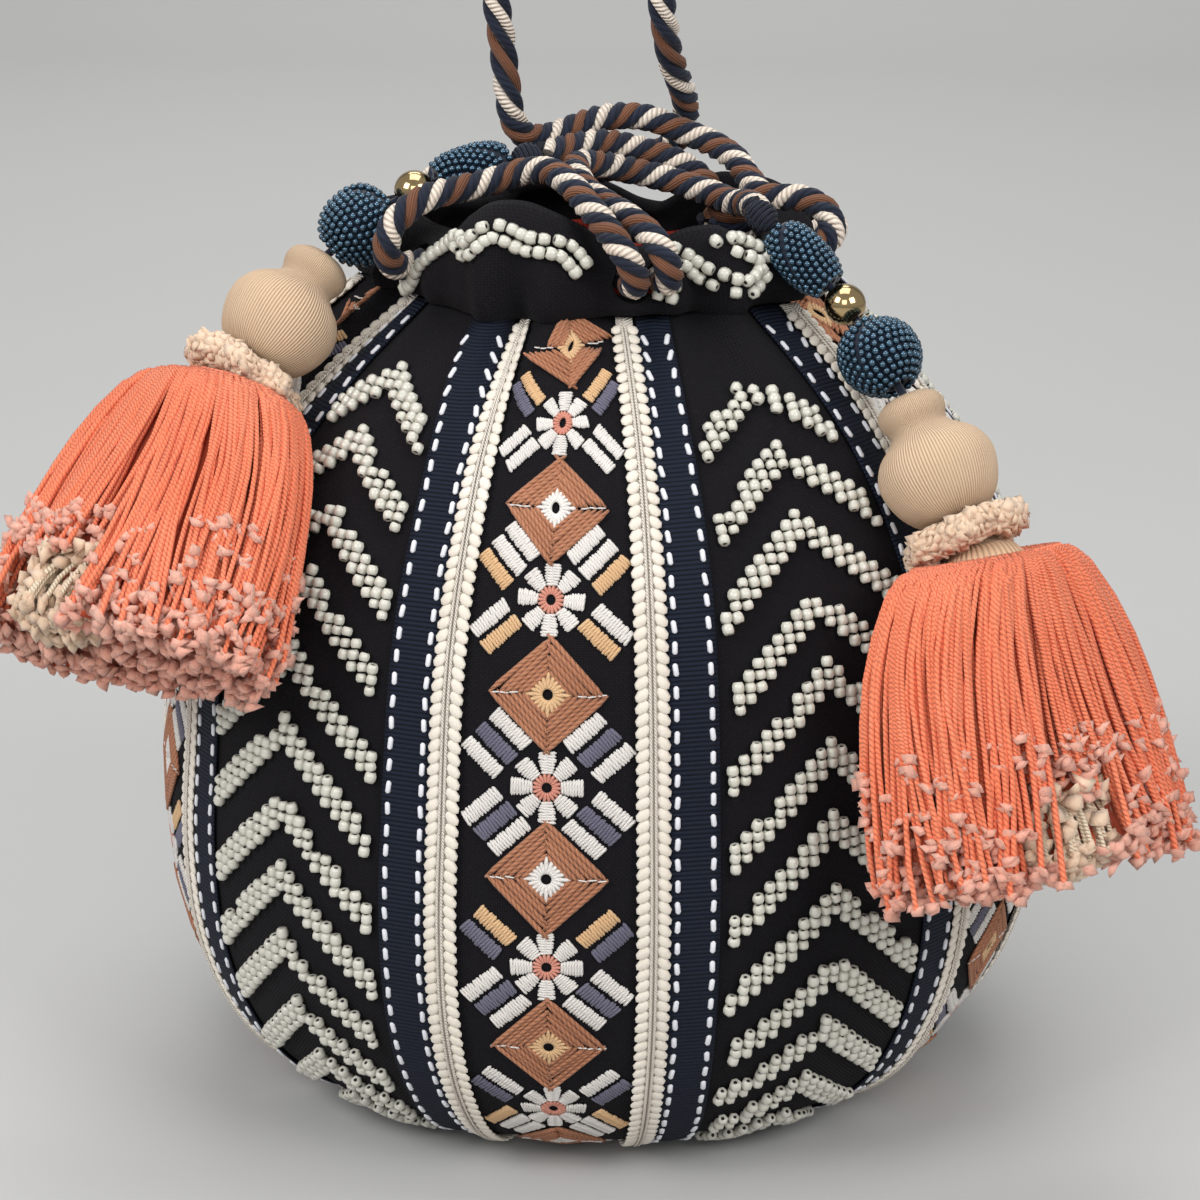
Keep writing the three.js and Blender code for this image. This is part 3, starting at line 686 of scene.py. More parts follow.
def cloth_strip(left, right, lift, across, up, thickness, foot=0.0, head=WALL_LENGTH):
    """A grid laid on the wall between two edges, which are angles that vary with length."""
    bm = bmesh.new()
    bmesh.ops.create_grid(bm, x_segments=across, y_segments=up, size=0.5)
    share = np.array([(vert.co.x + 0.5, vert.co.y + 0.5) for vert in bm.verts])
    length = foot + (head - foot) * share[:, 1]
    from_angle, to_angle = left(length), right(length)
    angle = from_angle + (to_angle - from_angle) * share[:, 0]
    places = on_wall(angle, length, lift)
    sideways = np.radians(angle - (from_angle + to_angle) / 2) * radius_at(length)
    for vert, place in zip(bm.verts, places):
        vert.co = place
    lay_uv(bm, lambda vert: (sideways[vert.index], length[vert.index]))
    bm.normal_update()
    bmesh.ops.solidify(bm, geom=bm.faces[:], thickness=thickness)
    bmesh.ops.recalc_face_normals(bm, faces=bm.faces)
    return bm


def seam_edge(angle, side):
    return lambda length: angle + side * angle_of(SEAM_GAP / 2, length)


for number in range(REPEATS):
    middle = number * 360 / REPEATS
    for word, first, last in (
            ("embroidered", middle - SEAM_ANGLE, middle + SEAM_ANGLE),
            ("beaded", middle + SEAM_ANGLE, middle + 360 / REPEATS - SEAM_ANGLE)):
        panel = cloth_strip(seam_edge(first, 1), seam_edge(last, -1), 0, *PANEL_CELLS,
                            PANEL_THICKNESS)
        name = f"{word}_panel_{number + 1}"
        piece = finish_piece(name + "_cloth", mesh_from(panel), [BLACK_CLOTH],
                             replaces=[name])
print("panels:", 2 * REPEATS)

# %% [markdown]
# ## Braid and ribbon
# A cream scalloped braid runs along each side of the embroidered panels. It is a narrow
# plait: two rows of slanting loops with a fine furrow between them. Beside it lies a navy
# grosgrain ribbon, sewn down with white running stitches.

# %% Edges of the trims
BRAID_ANGLE, BRAID_WIDTH, RIBBON_WIDTH = 12.8, 6.75, 11.3
LAYER_GAP, TRIM_GATHERING, TRIM_HEAD = 0.5, 0.4, 0.985
TRIM_END = WALL_LENGTH * TRIM_HEAD


def drawn_in(length):
    return (radius_at(length) / BELLY_RADIUS) ** TRIM_GATHERING


def trim_line(middle, side, out):
    """An edge that stays the given distance outside the braid's middle line."""
    def edge(length):
        return middle + side * (BRAID_ANGLE + angle_of(out * drawn_in(length), length))
    return edge


def in_order(side, near, far):
    return (near, far) if side > 0 else (far, near)

# %% A stamp: one small shape repeated many times
def stamped(stamps):
    """Copies each template mesh by its matrix into one mesh. V stays in millimetres."""
    bm = bmesh.new()
    for template, matrix in stamps:
        copy = template.copy()
        copy.transform(matrix)
        for layer in copy.uv_layers:
            spots = np.empty(2 * len(copy.loops))
            layer.data.foreach_get("uv", spots)
            spots[1::2] *= matrix.col[0].length
            layer.data.foreach_set("uv", spots)
        bm.from_mesh(copy)
        bpy.data.meshes.remove(copy)
    return mesh_from(bm)


def sized(x, y, z):
    return Matrix.Diagonal((x, y, z, 1))


def turned(degrees, axis="Z"):
    return Matrix.Rotation(math.radians(degrees), 4, axis)


def thread_stitch(sides, material_number=0):
    """A stitch of floss one unit long, wide and high, with tucked-in ends."""
    bm = spun([(0.22, -0.5), (0.5, -0.36), (0.5, 0.36), (0.22, 0.5)], sides)
    bmesh.ops.rotate(bm, verts=bm.verts, matrix=Matrix.Rotation(math.pi / 2, 3, "Y"))
    for face in bm.faces:
        face.material_index = material_number
    lay_uv(bm, lambda vert: (math.atan2(vert.co.y, vert.co.z) / math.tau, vert.co.x))
    return mesh_from(bm)


def braid_loop():
    bm = bmesh.new()
    bmesh.ops.create_uvsphere(bm, u_segments=6, v_segments=4, radius=0.5)
    bmesh.ops.rotate(bm, verts=bm.verts, matrix=Matrix.Rotation(math.pi / 2, 3, "Y"))
    return mesh_from(bm)

# %% Make the braids and ribbons
BRAID_PITCH, LOOP_SIZE, LOOP_OUT, LOOP_TILT = 2.7, (4.2, 2.9, 1.15), 2.2, 42
BACKING_HALF, CHAIN_OUT, CHAIN_STEP = 2.6, 0.5, 2.4
RIBBON_PITCH, STITCH_SIZE, STITCH_MARGIN = 4.9, (2.9, 1.35, 0.8), 1.6
CHAIN_THREAD = yarn_material("cream chain thread", srgb(240, 233, 222), srgb(222, 212, 198), 0.8,
                             bump=0.25, groove_shade_share=0.5)
loop_template, stitch_template = braid_loop(), thread_stitch(5)
random.seed(11)


def braid_stamps(middle, side):
    stamps = []
    centre_line = trim_line(middle, side, 0)
    for step in range(int(TRIM_END / BRAID_PITCH)):
        length = BRAID_PITCH * (step + 0.5)
        narrowing = float(drawn_in(length))
        for half in (-1, 1):
            angle = float(centre_line(length)) + float(
                angle_of(half * LOOP_OUT * narrowing, length))
            place = wall_frame(angle, length, LAYER_GAP + 0.8)
            tilt = turned(half * (-LOOP_TILT + random.uniform(-5, 5)))
            long, wide, thick = LOOP_SIZE
            stamps.append((loop_template, place @ tilt @ sized(long * narrowing, wide, thick)))
    return stamps


def running_stitches(middle, side, out):
    stamps = []
    line = trim_line(middle, side, out)
    for step in range(int(TRIM_END / RIBBON_PITCH)):
        length = RIBBON_PITCH * (step + 0.5) + random.uniform(-0.25, 0.25)
        place = wall_frame(float(line(length)), length, LAYER_GAP + 0.62)
        stamps.append((stitch_template, place @ turned(90 + random.uniform(-7, 7))
                       @ sized(*STITCH_SIZE)))
    return stamps


def furrow_threads(middle, side):
    centre_line = trim_line(middle, side, 0)
    lines = []
    for out in (-CHAIN_OUT, CHAIN_OUT):
        length = np.arange(1, TRIM_END - 1, CHAIN_STEP)
        angle = centre_line(length) + angle_of(out * drawn_in(length), length)
        lines.append(on_wall(angle, length, LAYER_GAP + 1.3))
    return lines


for number in range(REPEATS):
    middle = number * 360 / REPEATS
    for word, side in (("left", -1), ("right", 1)):
        backing = cloth_strip(*in_order(side, trim_line(middle, side, -BACKING_HALF),
                                        trim_line(middle, side, BACKING_HALF)),
                              LAYER_GAP + 0.7, 2, 76, 0.6, head=TRIM_END)
        braid = gather_meshes([(0, mesh_from(backing)),
                               (1, stamped(braid_stamps(middle, side))),
                               (2, tubes(furrow_threads(middle, side), 0.7, resolution=0))])
        finish_piece(f"{word}_braid_{number + 1}_plait", braid,
                     [CREAM_BRAID, BRAID_LOOP, CHAIN_THREAD],
                     replaces=[f"{word}_braid_{number + 1}"])
        inner = BRAID_WIDTH / 2 + SEAM_GAP
        outer = inner + RIBBON_WIDTH
        ribbon = cloth_strip(*in_order(side, trim_line(middle, side, inner),
                                       trim_line(middle, side, outer)),
                             LAYER_GAP + 0.5, 6, 90, 0.45, head=TRIM_END)
        stitches = [stamp for out in (inner + STITCH_MARGIN, outer - STITCH_MARGIN)
                    for stamp in running_stitches(middle, side, out)]
        sewn = gather_meshes([(0, mesh_from(ribbon)), (1, stamped(stitches))])
        finish_piece(f"{word}_ribbon_{number + 1}_grosgrain", sewn, [NAVY_RIBBON, WHITE_STITCH],
                     replaces=[f"{word}_ribbon_{number + 1}"])
print("trims:", 4 * REPEATS)

# %% [markdown]
# ## Seed beads
# The chevrons are sewn with glass seed beads in short upright rows of three, each row a
# step higher than the one before. A bead is a squat barrel whose hole is a flat disc of
# dark painted shade. There are thousands, so each has few faces, and small random turns
# stop them looking stamped.

# %% One seed bead
BEAD_RADIUS, BEAD_HEIGHT, BEAD_SIDES = 1.42, 2.3, 6


def seed_bead():
    half = BEAD_HEIGHT / 2
    bm = spun([(0.5, half * 0.84), (1.05, half), (BEAD_RADIUS, half * 0.42),
               (BEAD_RADIUS, -half * 0.42), (1.05, -half), (0.5, -half * 0.84)], BEAD_SIDES)
    bmesh.ops.rotate(bm, verts=bm.verts, matrix=Matrix.Rotation(-math.pi / 2, 3, "X"))
    for face in bm.faces:
        # The flat discs that close the hole get material 1, a dark painted shade.
        face.material_index = 1 if len(face.verts) == BEAD_SIDES else 0
    return mesh_from(bm)


bead_template = seed_bead()

# %% Sew the chevrons
CHEVRON_FIRST, CHEVRON_PITCH, CHEVRON_COUNT, CHEVRON_ARM = 25.0, 17.1, 12, 10
COLUMN_PITCH, ROW_PITCH, CHEVRON_SLOPE, BEAD_MARGIN = 2.75, 2.45, 0.86, 2.4


def chevron_stamps(middle, rng):
    stamps = []
    for row in range(CHEVRON_COUNT):
        apex = CHEVRON_FIRST + CHEVRON_PITCH * row + rng.uniform(-0.8, 0.8)
        shift = rng.uniform(-0.8, 0.8)
        for column in range(-CHEVRON_ARM, CHEVRON_ARM + 1):
            out = abs(column)
            foot = apex - out * COLUMN_PITCH * CHEVRON_SLOPE
            tall = 3 if rng.random() < 0.86 else 2
            for step in range(tall):
                length = foot + (step - 1) * ROW_PITCH + rng.uniform(-0.15, 0.15)
                if not 6 < length < WALL_LENGTH - 7:
                    continue
                sideways = shift + column * COLUMN_PITCH + rng.uniform(-0.15, 0.15)
                room = math.radians(HALF_REPEAT - BRAID_ANGLE) * radius_at(length) - (
                    BRAID_WIDTH / 2 + SEAM_GAP + RIBBON_WIDTH) * drawn_in(length) - BEAD_MARGIN
                if abs(sideways) > room:
                    continue
                angle = middle + HALF_REPEAT + float(angle_of(sideways, length))
                place = wall_frame(angle, length, 1.25)
                tilt = turned(rng.uniform(-14, 14)) @ turned(rng.uniform(-12, 12), "X")
                grow = rng.uniform(0.93, 1.07)
                stamps.append((bead_template, place @ tilt @ sized(
                    grow, grow * rng.uniform(0.85, 1.1), grow)))
    return stamps


for number in range(REPEATS):
    beads = chevron_stamps(number * 360 / REPEATS, random.Random(40 + number))
    finish_piece(f"chevron_beads_{number + 1}", stamped(beads), [BODY_BEAD, BEAD_HOLE_SHADE])
print("seed beads per panel:", len(beads), "triangles",
      triangle_counts[f"chevron_beads_{REPEATS}"])

# %% [markdown]
# ## Embroidery
# Down the middle of each black panel runs a row of diamonds and daisies, with short satin
# bars between them. Floss lies in parallel stitches, so each shape is built from stitches
# and not drawn: the light then catches every thread.

# %% Templates and the satin bar
WHITE, BEIGE, SLATE, COPPER, SALMON = range(len(FLOSS))
satin = [thread_stitch(4, number) for number in range(len(FLOSS))]
PATTERN_PITCH, PATTERN_FIRST = 42.0, 18.2
BAR_LENGTH, BAR_WIDTH, BAR_STITCHES, BAR_TURN = 10.4, 3.7, 14, 42


def flat_stitch(colour, x, y, length, turn, width, height, lift=0.0):
    return colour, x, y, length, turn, width, height, lift


def satin_bar(x, y, turn, colour, rng):
    """A short bar of stitches that lie side by side across it."""
    stitches = []
    angle = math.radians(turn)
    for step in range(BAR_STITCHES):
        along = (step + 0.5) / BAR_STITCHES * BAR_LENGTH - BAR_LENGTH / 2
        stitches.append(flat_stitch(
            colour, x + along * math.cos(angle), y + along * math.sin(angle),
            BAR_WIDTH * rng.uniform(0.92, 1.1), turn + 90 + rng.uniform(-7, 7),
            width=BAR_LENGTH / BAR_STITCHES * 1.25, height=1.0))
    return stitches

# %% Diamond and daisy
DIAMOND_HALF_WIDTH, DIAMOND_HALF_HEIGHT, DIAMOND_THREADS = 12.6, 12.9, 6
EYE_STITCHES, EYE_SHARE, EYE_HOLE = 20, 0.4, 1.4
PETALS, PETAL_STITCHES, CENTRE_STITCHES = 8, 8, 18


def diamond(x, y, half_width, half_height, eye, rng):
    """Rows of floss round a diamond, with an eye of rays and a few white ticks."""
    stitches = []
    for quarter, (right, up) in enumerate(((1, 1), (1, -1), (-1, -1), (-1, 1))):
        for step in range(DIAMOND_THREADS):
            share = 1 - step * 0.7 / DIAMOND_THREADS
            w, h = half_width * share, half_height * share
            middle = (x + right * w / 2, y + up * h / 2)
            turn = math.degrees(math.atan2(-up * h, right * w))
            stitches.append(flat_stitch(
                COPPER, *middle, math.hypot(w, h) * 1.09, turn + rng.uniform(-2.5, 2.5),
                width=1.3, height=1.15, lift=0.15 * math.sin(step * 2.3 + quarter)))
    for step in range(EYE_STITCHES):
        angle = math.tau * step / EYE_STITCHES
        reach = 1 / (abs(math.cos(angle)) / (half_width * EYE_SHARE)
                     + abs(math.sin(angle)) / (half_height * EYE_SHARE))
        middle = 0.5 * (reach + EYE_HOLE)
        stitches.append(flat_stitch(eye, x + middle * math.cos(angle),
                                    y + middle * math.sin(angle), reach - 1.0,
                                    math.degrees(angle), width=1.05, height=0.8,
                                    lift=0.15))
    for side in (-1, 1):
        for step in range(3):
            stitches.append(flat_stitch(
                WHITE, x + side * (half_width - 0.4 - 2.2 * step), y + rng.uniform(-0.2, 0.2),
                2.2, rng.uniform(-12, 12), width=0.4, height=0.5, lift=0.5))
    return stitches


def daisy(x, y, rng):
    """Petals of stitches laid across, round a centre of short rays."""
    stitches = []
    for petal in range(PETALS):
        angle = math.tau * petal / PETALS + math.pi / 2 + rng.uniform(-0.05, 0.05)
        for step in range(PETAL_STITCHES):
            out = 3.5 + 0.62 * step
            wide = 2.2 + 1.9 * math.sin((step + 1.2) / 8.5 * math.pi / 1.6)
            stitches.append(flat_stitch(
                WHITE, x + out * math.cos(angle), y + out * math.sin(angle),
                wide * rng.uniform(0.92, 1.05), math.degrees(angle) + 90 + rng.uniform(-6, 6),
                width=0.8, height=0.95))
    for step in range(CENTRE_STITCHES):
        angle = math.tau * step / CENTRE_STITCHES
        stitches.append(flat_stitch(SALMON, x + 2.2 * math.cos(angle),
                                    y + 2.2 * math.sin(angle), 2.1,
                                    math.degrees(angle), width=0.8, height=0.9))
    return stitches

# %% Stitch the panels
# The bars beside each diamond: how far out and up, or out and down, then their colours.
ABOVE = ((8.4, 9.4), (11.6, 12.6), (14.8, 15.9))
BELOW = ((8.4, 8.2), (11.6, 11.6), (14.8, 15.0))
BAR_COLOURS = (
    ((WHITE, WHITE, BEIGE), (WHITE, WHITE, BEIGE)),
    ((WHITE, SLATE, WHITE), (None, WHITE, SLATE)),
    ((WHITE, SLATE, WHITE), (None, BEIGE, SLATE)),
    ((None, BEIGE, WHITE), (WHITE, SLATE, WHITE)),
    ((None, WHITE, WHITE), (WHITE, WHITE, BEIGE)),
    ((None, BEIGE, SLATE), (None, BEIGE, SLATE)),
)
FULL_ROOM = 20.0


def motif_stitches(rng):
    stitches = []
    for repeat, (upper, lower) in enumerate(BAR_COLOURS):
        y = PATTERN_FIRST + PATTERN_PITCH * repeat
        for side in (-1, 1):
            for (out, rise), colour in zip(ABOVE, upper):
                if colour is not None:
                    stitches += satin_bar(side * out, y + rise, -side * BAR_TURN, colour, rng)
            for (out, drop), colour in zip(BELOW, lower):
                if colour is not None:
                    stitches += satin_bar(side * out, y - drop, side * BAR_TURN, colour, rng)
        size = rng.uniform(0.94, 1.06)
        stitches += diamond(0, y, DIAMOND_HALF_WIDTH * size, DIAMOND_HALF_HEIGHT * size,
                            BEIGE if repeat % 2 else WHITE, rng)
        if repeat < len(BAR_COLOURS) - 1:
            stitches += daisy(0, y + PATTERN_PITCH / 2, rng)
    return stitches


def embroidery(middle, rng):
    stamps = []
    for colour, x, y, length, turn, width, height, lift in motif_stitches(rng):
        room = math.radians(BRAID_ANGLE) * radius_at(y) - BRAID_WIDTH / 2 * drawn_in(y)
        squeeze = min(1.0, room / FULL_ROOM)
        if not 3 < y < WALL_LENGTH - 3:
            continue
        angle = middle + float(angle_of(x * squeeze, y))
        place = wall_frame(angle, y, 0.35 + lift)
        stamps.append((satin[colour], place @ turned(turn)
                       @ sized(length * (0.4 + 0.6 * squeeze), width, height)))
    return stamps


for number in range(REPEATS):
    stitches = embroidery(number * 360 / REPEATS, random.Random(70 + number))
    finish_piece(f"embroidery_{number + 1}", stamped(stitches), FLOSS)
print("stitches per panel:", len(stitches), "triangles",
      triangle_counts[f"embroidery_{REPEATS}"])

# %% [markdown]
# ## Lining and the gathered band
# Above the panels the pouch ends in a plain black band. The cords run through eyelets in
# it and pull it into soft puffs. It is turned from a profile, and then every point is
# moved by the puffs, the folds and the height of the rim.

# %% The rim's height round the mouth
# Each spot is an angle in degrees and the rim's height over the neck there.
RIM_SPOTS = [(-89, 17), (-53, 13), (-17, 25), (19, 13), (40, 18), (55, 12), (76, 12.5),
             (108, 15), (142, 18), (166, 9.5), (195, 15), (235, 13), (271, 17)]
RIM_ANGLES, RIM_HEIGHTS = np.array(RIM_SPOTS, float).T
RIM_GATHER = 2.2


def rim_height(degrees):
    around = np.mod(degrees - RIM_ANGLES[0], 360) + RIM_ANGLES[0]
    index = np.clip(np.searchsorted(RIM_ANGLES, around, side="right") - 1, 0,
                    len(RIM_ANGLES) - 2)
    share = (around - RIM_ANGLES[index]) / (RIM_ANGLES[index + 1] - RIM_ANGLES[index])
    share = (1 - np.cos(math.pi * share)) / 2
    return RIM_HEIGHTS[index] * (1 - share) + RIM_HEIGHTS[index + 1] * share


# The band's section: a radius, and a share of the way up from the neck to the rim. Its
# outer face runs from the second point to the ninth, and the rest is the inner face.
BAND_PROFILE = [
    (NECK_RADIUS - 0.6, 0.04), (NECK_RADIUS + 2.2, -0.12), (NECK_RADIUS + 4.4, -0.07),
    (NECK_RADIUS + 5.4, 0.12), (NECK_RADIUS + 5.4, 0.36), (NECK_RADIUS + 4.2, 0.62),
    (NECK_RADIUS + 1.6, 0.84), (NECK_RADIUS - 1.6, 0.96), (NECK_RADIUS - 4.8, 1.0),
    (NECK_RADIUS - 6.6, 0.95), (NECK_RADIUS - 8.0, 0.8), (NECK_RADIUS - 5.6, 0.62),
    (NECK_RADIUS - 3.8, 0.42), (NECK_RADIUS - 4.2, 0.2), (NECK_RADIUS - 4.6, 0.0),
]
OUTER_FACE = np.array(BAND_PROFILE[1:9])


def band_point(radius, share, angle):
    """Moves a point of the band's profile out to its place in the gathered band."""
    puff = (GATHER_DEPTH + RIM_GATHER * share) * np.cos(PUFF_COUNT * (angle + PUFF_START))
    pleats = (1 - 0.85 * eased(0.1, 0.9, share)) * waves(angle, BAND_PLEATS)
    soft = 0.9 * np.sin(np.clip(share, 0, 1) * math.pi) * np.cos(11 * angle + 2.2 + 2 * share)
    out = radius + puff + pleats + soft
    height = NECK_HEIGHT + 0.35 + share * (rim_height(np.degrees(angle)) - 0.35)
    return np.stack([out * np.sin(angle), -out * np.cos(angle), height], -1)


def gathered_band():
    bm = spun(BAND_PROFILE + BAND_PROFILE[:1], 240, closed_ends=False)
    points = np.array([vert.co for vert in bm.verts])
    radius, share = np.hypot(points[:, 0], points[:, 1]), points[:, 2]
    angle = np.arctan2(points[:, 0], -points[:, 1])
    inner = (radius < NECK_RADIUS - 3.5) & (share < 0.3)
    for vert, place in zip(bm.verts, band_point(radius, share, angle)):
        vert.co = place
    for face in bm.faces:
        face.material_index = 1 if all(inner[vert.index] for vert in face.verts) else 0
    lay_uv(bm, lambda vert: (angle[vert.index] * NECK_RADIUS, share[vert.index] * 20))
    bmesh.ops.recalc_face_normals(bm, faces=bm.faces)
    return bm

# %% Make the band and cut its eyelets
# Each eyelet is at an angle in degrees, moved sideways by some millimetres.
EYELETS = ((19, -3.7), (19, 3.7), (-53, 0), (76, 0), (108, 0), (142, 0), (-125, 0))
EYELET_RADIUS, EYELET_HEIGHT = 4.3, 6.5


def punched(mesh, cutter):
    """Cuts one mesh's shape out of another."""
    holder = bpy.data.objects.new("punched", mesh)
    tool = bpy.data.objects.new("punch", cutter)
    scene.collection.objects.link(holder)
    scene.collection.objects.link(tool)
    modifier = holder.modifiers.new("punch", "BOOLEAN")
    modifier.operation, modifier.object, modifier.solver = "DIFFERENCE", tool, "EXACT"
    modifier.use_self = True
    graph = bpy.context.evaluated_depsgraph_get()
    result = bpy.data.meshes.new_from_object(holder.evaluated_get(graph))
    bpy.data.objects.remove(holder)
    bpy.data.objects.remove(tool)
    return result


def eyelet_punches():
    bm = bmesh.new()
    for degrees, sideways in EYELETS:
        place = turned(degrees) @ Matrix.Translation(
            (sideways, -NECK_RADIUS, NECK_HEIGHT + EYELET_HEIGHT)) @ turned(90, "X")
        bmesh.ops.create_cone(bm, cap_ends=True, segments=20, radius1=EYELET_RADIUS,
                              radius2=EYELET_RADIUS, depth=30, matrix=place)
    bmesh.ops.recalc_face_normals(bm, faces=bm.faces)
    return mesh_from(bm)


band_mesh = punched(mesh_from(gathered_band()), eyelet_punches())
band = finish_piece("gathered_band", band_mesh, [BLACK_CLOTH, LINING_CLOTH],
                    replaces=["top_band"])

# %% The lining inside
LINING_ROOM, LINING_FLOOR, LINING_THICKNESS = 1.1, 5.2, 0.9


def lining_bucket():
    """A red bucket that stands inside the panels, on the base."""
    lift = -(PANEL_THICKNESS + LINING_ROOM)
    rows = np.linspace(2, WALL_LENGTH, 32)
    ring = [(0, 5.0)] + [(float(radius_at(row)) + lift, float(row)) for row in rows]
    bm = spun(ring, 90, closed_ends=False)
    for vert in bm.verts:
        degrees = math.degrees(math.atan2(vert.co.x, -vert.co.y))
        if math.hypot(vert.co.x, vert.co.y) > 1:
            place = on_wall([degrees], [vert.co.z], [lift])[0]
            vert.co = (place[0], place[1], max(place[2], LINING_FLOOR))
        else:
            vert.co = (0, 0, LINING_FLOOR)
    lay_uv(bm, lambda vert: (vert.co.x, vert.co.z))
    bmesh.ops.solidify(bm, geom=bm.faces[:], thickness=LINING_THICKNESS)
    bmesh.ops.recalc_face_normals(bm, faces=bm.faces)
    return bm


lining = finish_piece("lining_bucket", mesh_from(lining_bucket()), [LINING_CLOTH],
                      replaces=["lining"])

# %% Beads sewn in a zigzag on the band
# The corners are angles in degrees and heights in millimetres over the neck.
BAND_BEAD_LINES = (
    ((-58, 2.6), (-53, 0.6), (-43, 8.3), (-29.5, 16.8)),
    ((-29, 14.8), (-25, 13.8), (-18.5, 18.6), (-11, 16.2), (-2.8, 14.6), (3, 8.7)),
    ((23, 3.4), (27.1, 11.3), (34.7, 7.9), (41.5, 5), (48, 9.8), (39, 15.2), (39, 17)),
)
MM_PER_DEGREE, BAND_BEAD_PITCH, BAND_ROW_OUT = 0.87, 2.35, 1.45


def band_place(degrees, height):
    """A spot on the band's outer face at a height above the neck, and its way out."""
    angle = math.radians(degrees)
    share = min(max(height / float(rim_height(degrees)), 0), 0.93)

    def at(angle, share):
        radius = np.interp(share, OUTER_FACE[:, 1], OUTER_FACE[:, 0])
        return Vector(band_point(radius, share, np.array(angle)))
    here = at(angle, share)
    right, above = at(angle + 0.02, share) - here, at(angle, share + 0.04) - here
    return here, right.cross(above).normalized()


def band_beads():
    rng = random.Random(5)
    stamps = []
    for number, corners in enumerate(BAND_BEAD_LINES):
        line = smooth_line([(degrees * MM_PER_DEGREE, height, 0) for degrees, height in corners],
                           BAND_BEAD_PITCH)
        rows = (0,) if number == 0 else (-BAND_ROW_OUT, BAND_ROW_OUT)
        for index in range(len(line) - 1):
            direction = line[index + 1] - line[index]
            direction /= np.linalg.norm(direction)
            for row in rows:
                x, y = line[index][:2] + np.array((-direction[1], direction[0])) * row
                here, out = band_place(x / MM_PER_DEGREE, y)
                ahead, _ = band_place((x + direction[0]) / MM_PER_DEGREE, y + direction[1])
                along = (ahead - here).normalized()
                side = along.cross(out).normalized()
                matrix = Matrix((side, along, side.cross(along))).transposed().to_4x4()
                matrix.translation = here + out * 1.2
                grow = rng.uniform(0.95, 1.1) * (1.35 if number == 0 else 1.05)
                stamps.append((bead_template, matrix @ sized(grow, 1.16, 1.1)))
    return stamps


finish_piece("band_beads", stamped(band_beads()), [BODY_BEAD, BEAD_HOLE_SHADE])

# %% [markdown]
# ## Pendants
# Each pendant hangs on a thread from the end of a drawstring: a barrel and a ball covered
# in blue seed beads, a gold ball between them, a wooden head wound with cotton, a ruffled
# collar and a skirt of yarn. Every piece is made hanging down from its own top, and then
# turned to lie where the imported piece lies.

# %% Where the pieces of the pendants hang
PENDANTS = {
    "left": {
        "flat": -22,
        "knot": ((-15.9, -13.2, 228.2), (0.854121, 0.509991, 0.101911)),
        "barrel": ((-27.894, -19.591, 226.062), (0.881275, 0.430716, 0.194522)),
        "gold": ((-40.685, -25.211, 222.189), (0.866269, 0.314092, 0.38849)),
        "ball": ((-52.522, -29.652, 214.507), (0.757007, 0.281815, 0.589509)),
        "head": ((-60.714, -32.47, 207.667), (0.47534, 0.525339, 0.705742)),
        "collar": ((-75.616, -48.939, 185.542), (0.47534, 0.525339, 0.705742)),
        "neck": ((-82.913, -57.003, 174.709), (0.47534, 0.525339, 0.705742)),
        "skirt": ((-82.913, -57.003, 174.709), (0.23008, 0.604241, 0.762861)),
    },
    "right": {
        "flat": 42,
        "knot": ((41.3, -31.5, 218.8), (-0.701204, 0.375897, 0.605817)),
        "barrel": ((51.081, -36.228, 210.223), (-0.709168, 0.316472, 0.630021)),
        "gold": ((61.181, -40.508, 200.617), (-0.653748, 0.270186, 0.706833)),
        "ball": ((69.561, -47.533, 190.376), (-0.504876, 0.55637, 0.659964)),
        "head": ((75.33, -53.831, 182.833), (-0.430666, 0.388669, 0.814532)),
        "collar": ((88.831, -66.016, 157.298), (-0.430666, 0.388669, 0.814532)),
        "neck": ((95.442, -71.982, 144.795), (-0.430666, 0.388669, 0.814532)),
        "skirt": ((95.442, -71.982, 144.795), (-0.196623, 0.235141, 0.951866)),
    },
}


def hanging(side, part):
    """The matrix that turns a piece made hanging down -Z to its place."""
    place, up = PENDANTS[side][part]
    up = Vector(up).normalized()
    outward = Matrix.Rotation(math.radians(PENDANTS[side]["flat"]), 3, "Z") @ Vector((0, -1, 0))
    across = outward.cross(up).normalized()
    matrix = Matrix((across, up.cross(across), up)).transposed().to_4x4()
    matrix.translation = Vector(place)
    return matrix

# %% Seed beads in rings over a turned core
BEAD_BORE, RING_PITCH = 1.9, 0.95


def tiny_bead():
    bm = bmesh.new()
    bmesh.ops.create_uvsphere(bm, u_segments=6, v_segments=5, radius=0.5)
    return mesh_from(bm)


tiny_template = tiny_bead()


def covered_bead(profile, size, rng):
    """Sews small beads in rings along a profile of (radius, height) points."""
    line = smooth_line([(radius, 0, height) for radius, height in profile], 0.25)
    lengths = np.concatenate([[0], np.cumsum(np.linalg.norm(np.diff(line, axis=0), axis=1))])
    stamps = []
    rings = round(lengths[-1] / (size * RING_PITCH))
    for ring in range(rings):
        at = (ring + 0.5) / rings * lengths[-1]
        radius, height = np.interp(at, lengths, line[:, 0]), np.interp(at, lengths, line[:, 2])
        count = max(6, int(math.tau * radius / (size * 1.02)))
        for step in range(count):
            angle = math.tau * (step + 0.37 * ring) / count
            rise = size * RING_PITCH * step / count
            slope = (np.interp(at + 0.2, lengths, line[:, 0])
                     - np.interp(at - 0.2, lengths, line[:, 0])) / 0.4
            matrix = Matrix.Rotation(angle, 4, "Z") @ Matrix.Translation(
                (radius, 0, height + rise * math.sqrt(max(0.0, 1 - slope * slope))
                 - size * RING_PITCH / 2)) @ turned(rng.uniform(-20, 20), "X")
            grow = rng.uniform(0.86, 1.06)
            stamps.append((tiny_template, matrix @ sized(
                size * grow, size * 1.05, size * grow * 0.98)))
    return stamped(stamps)


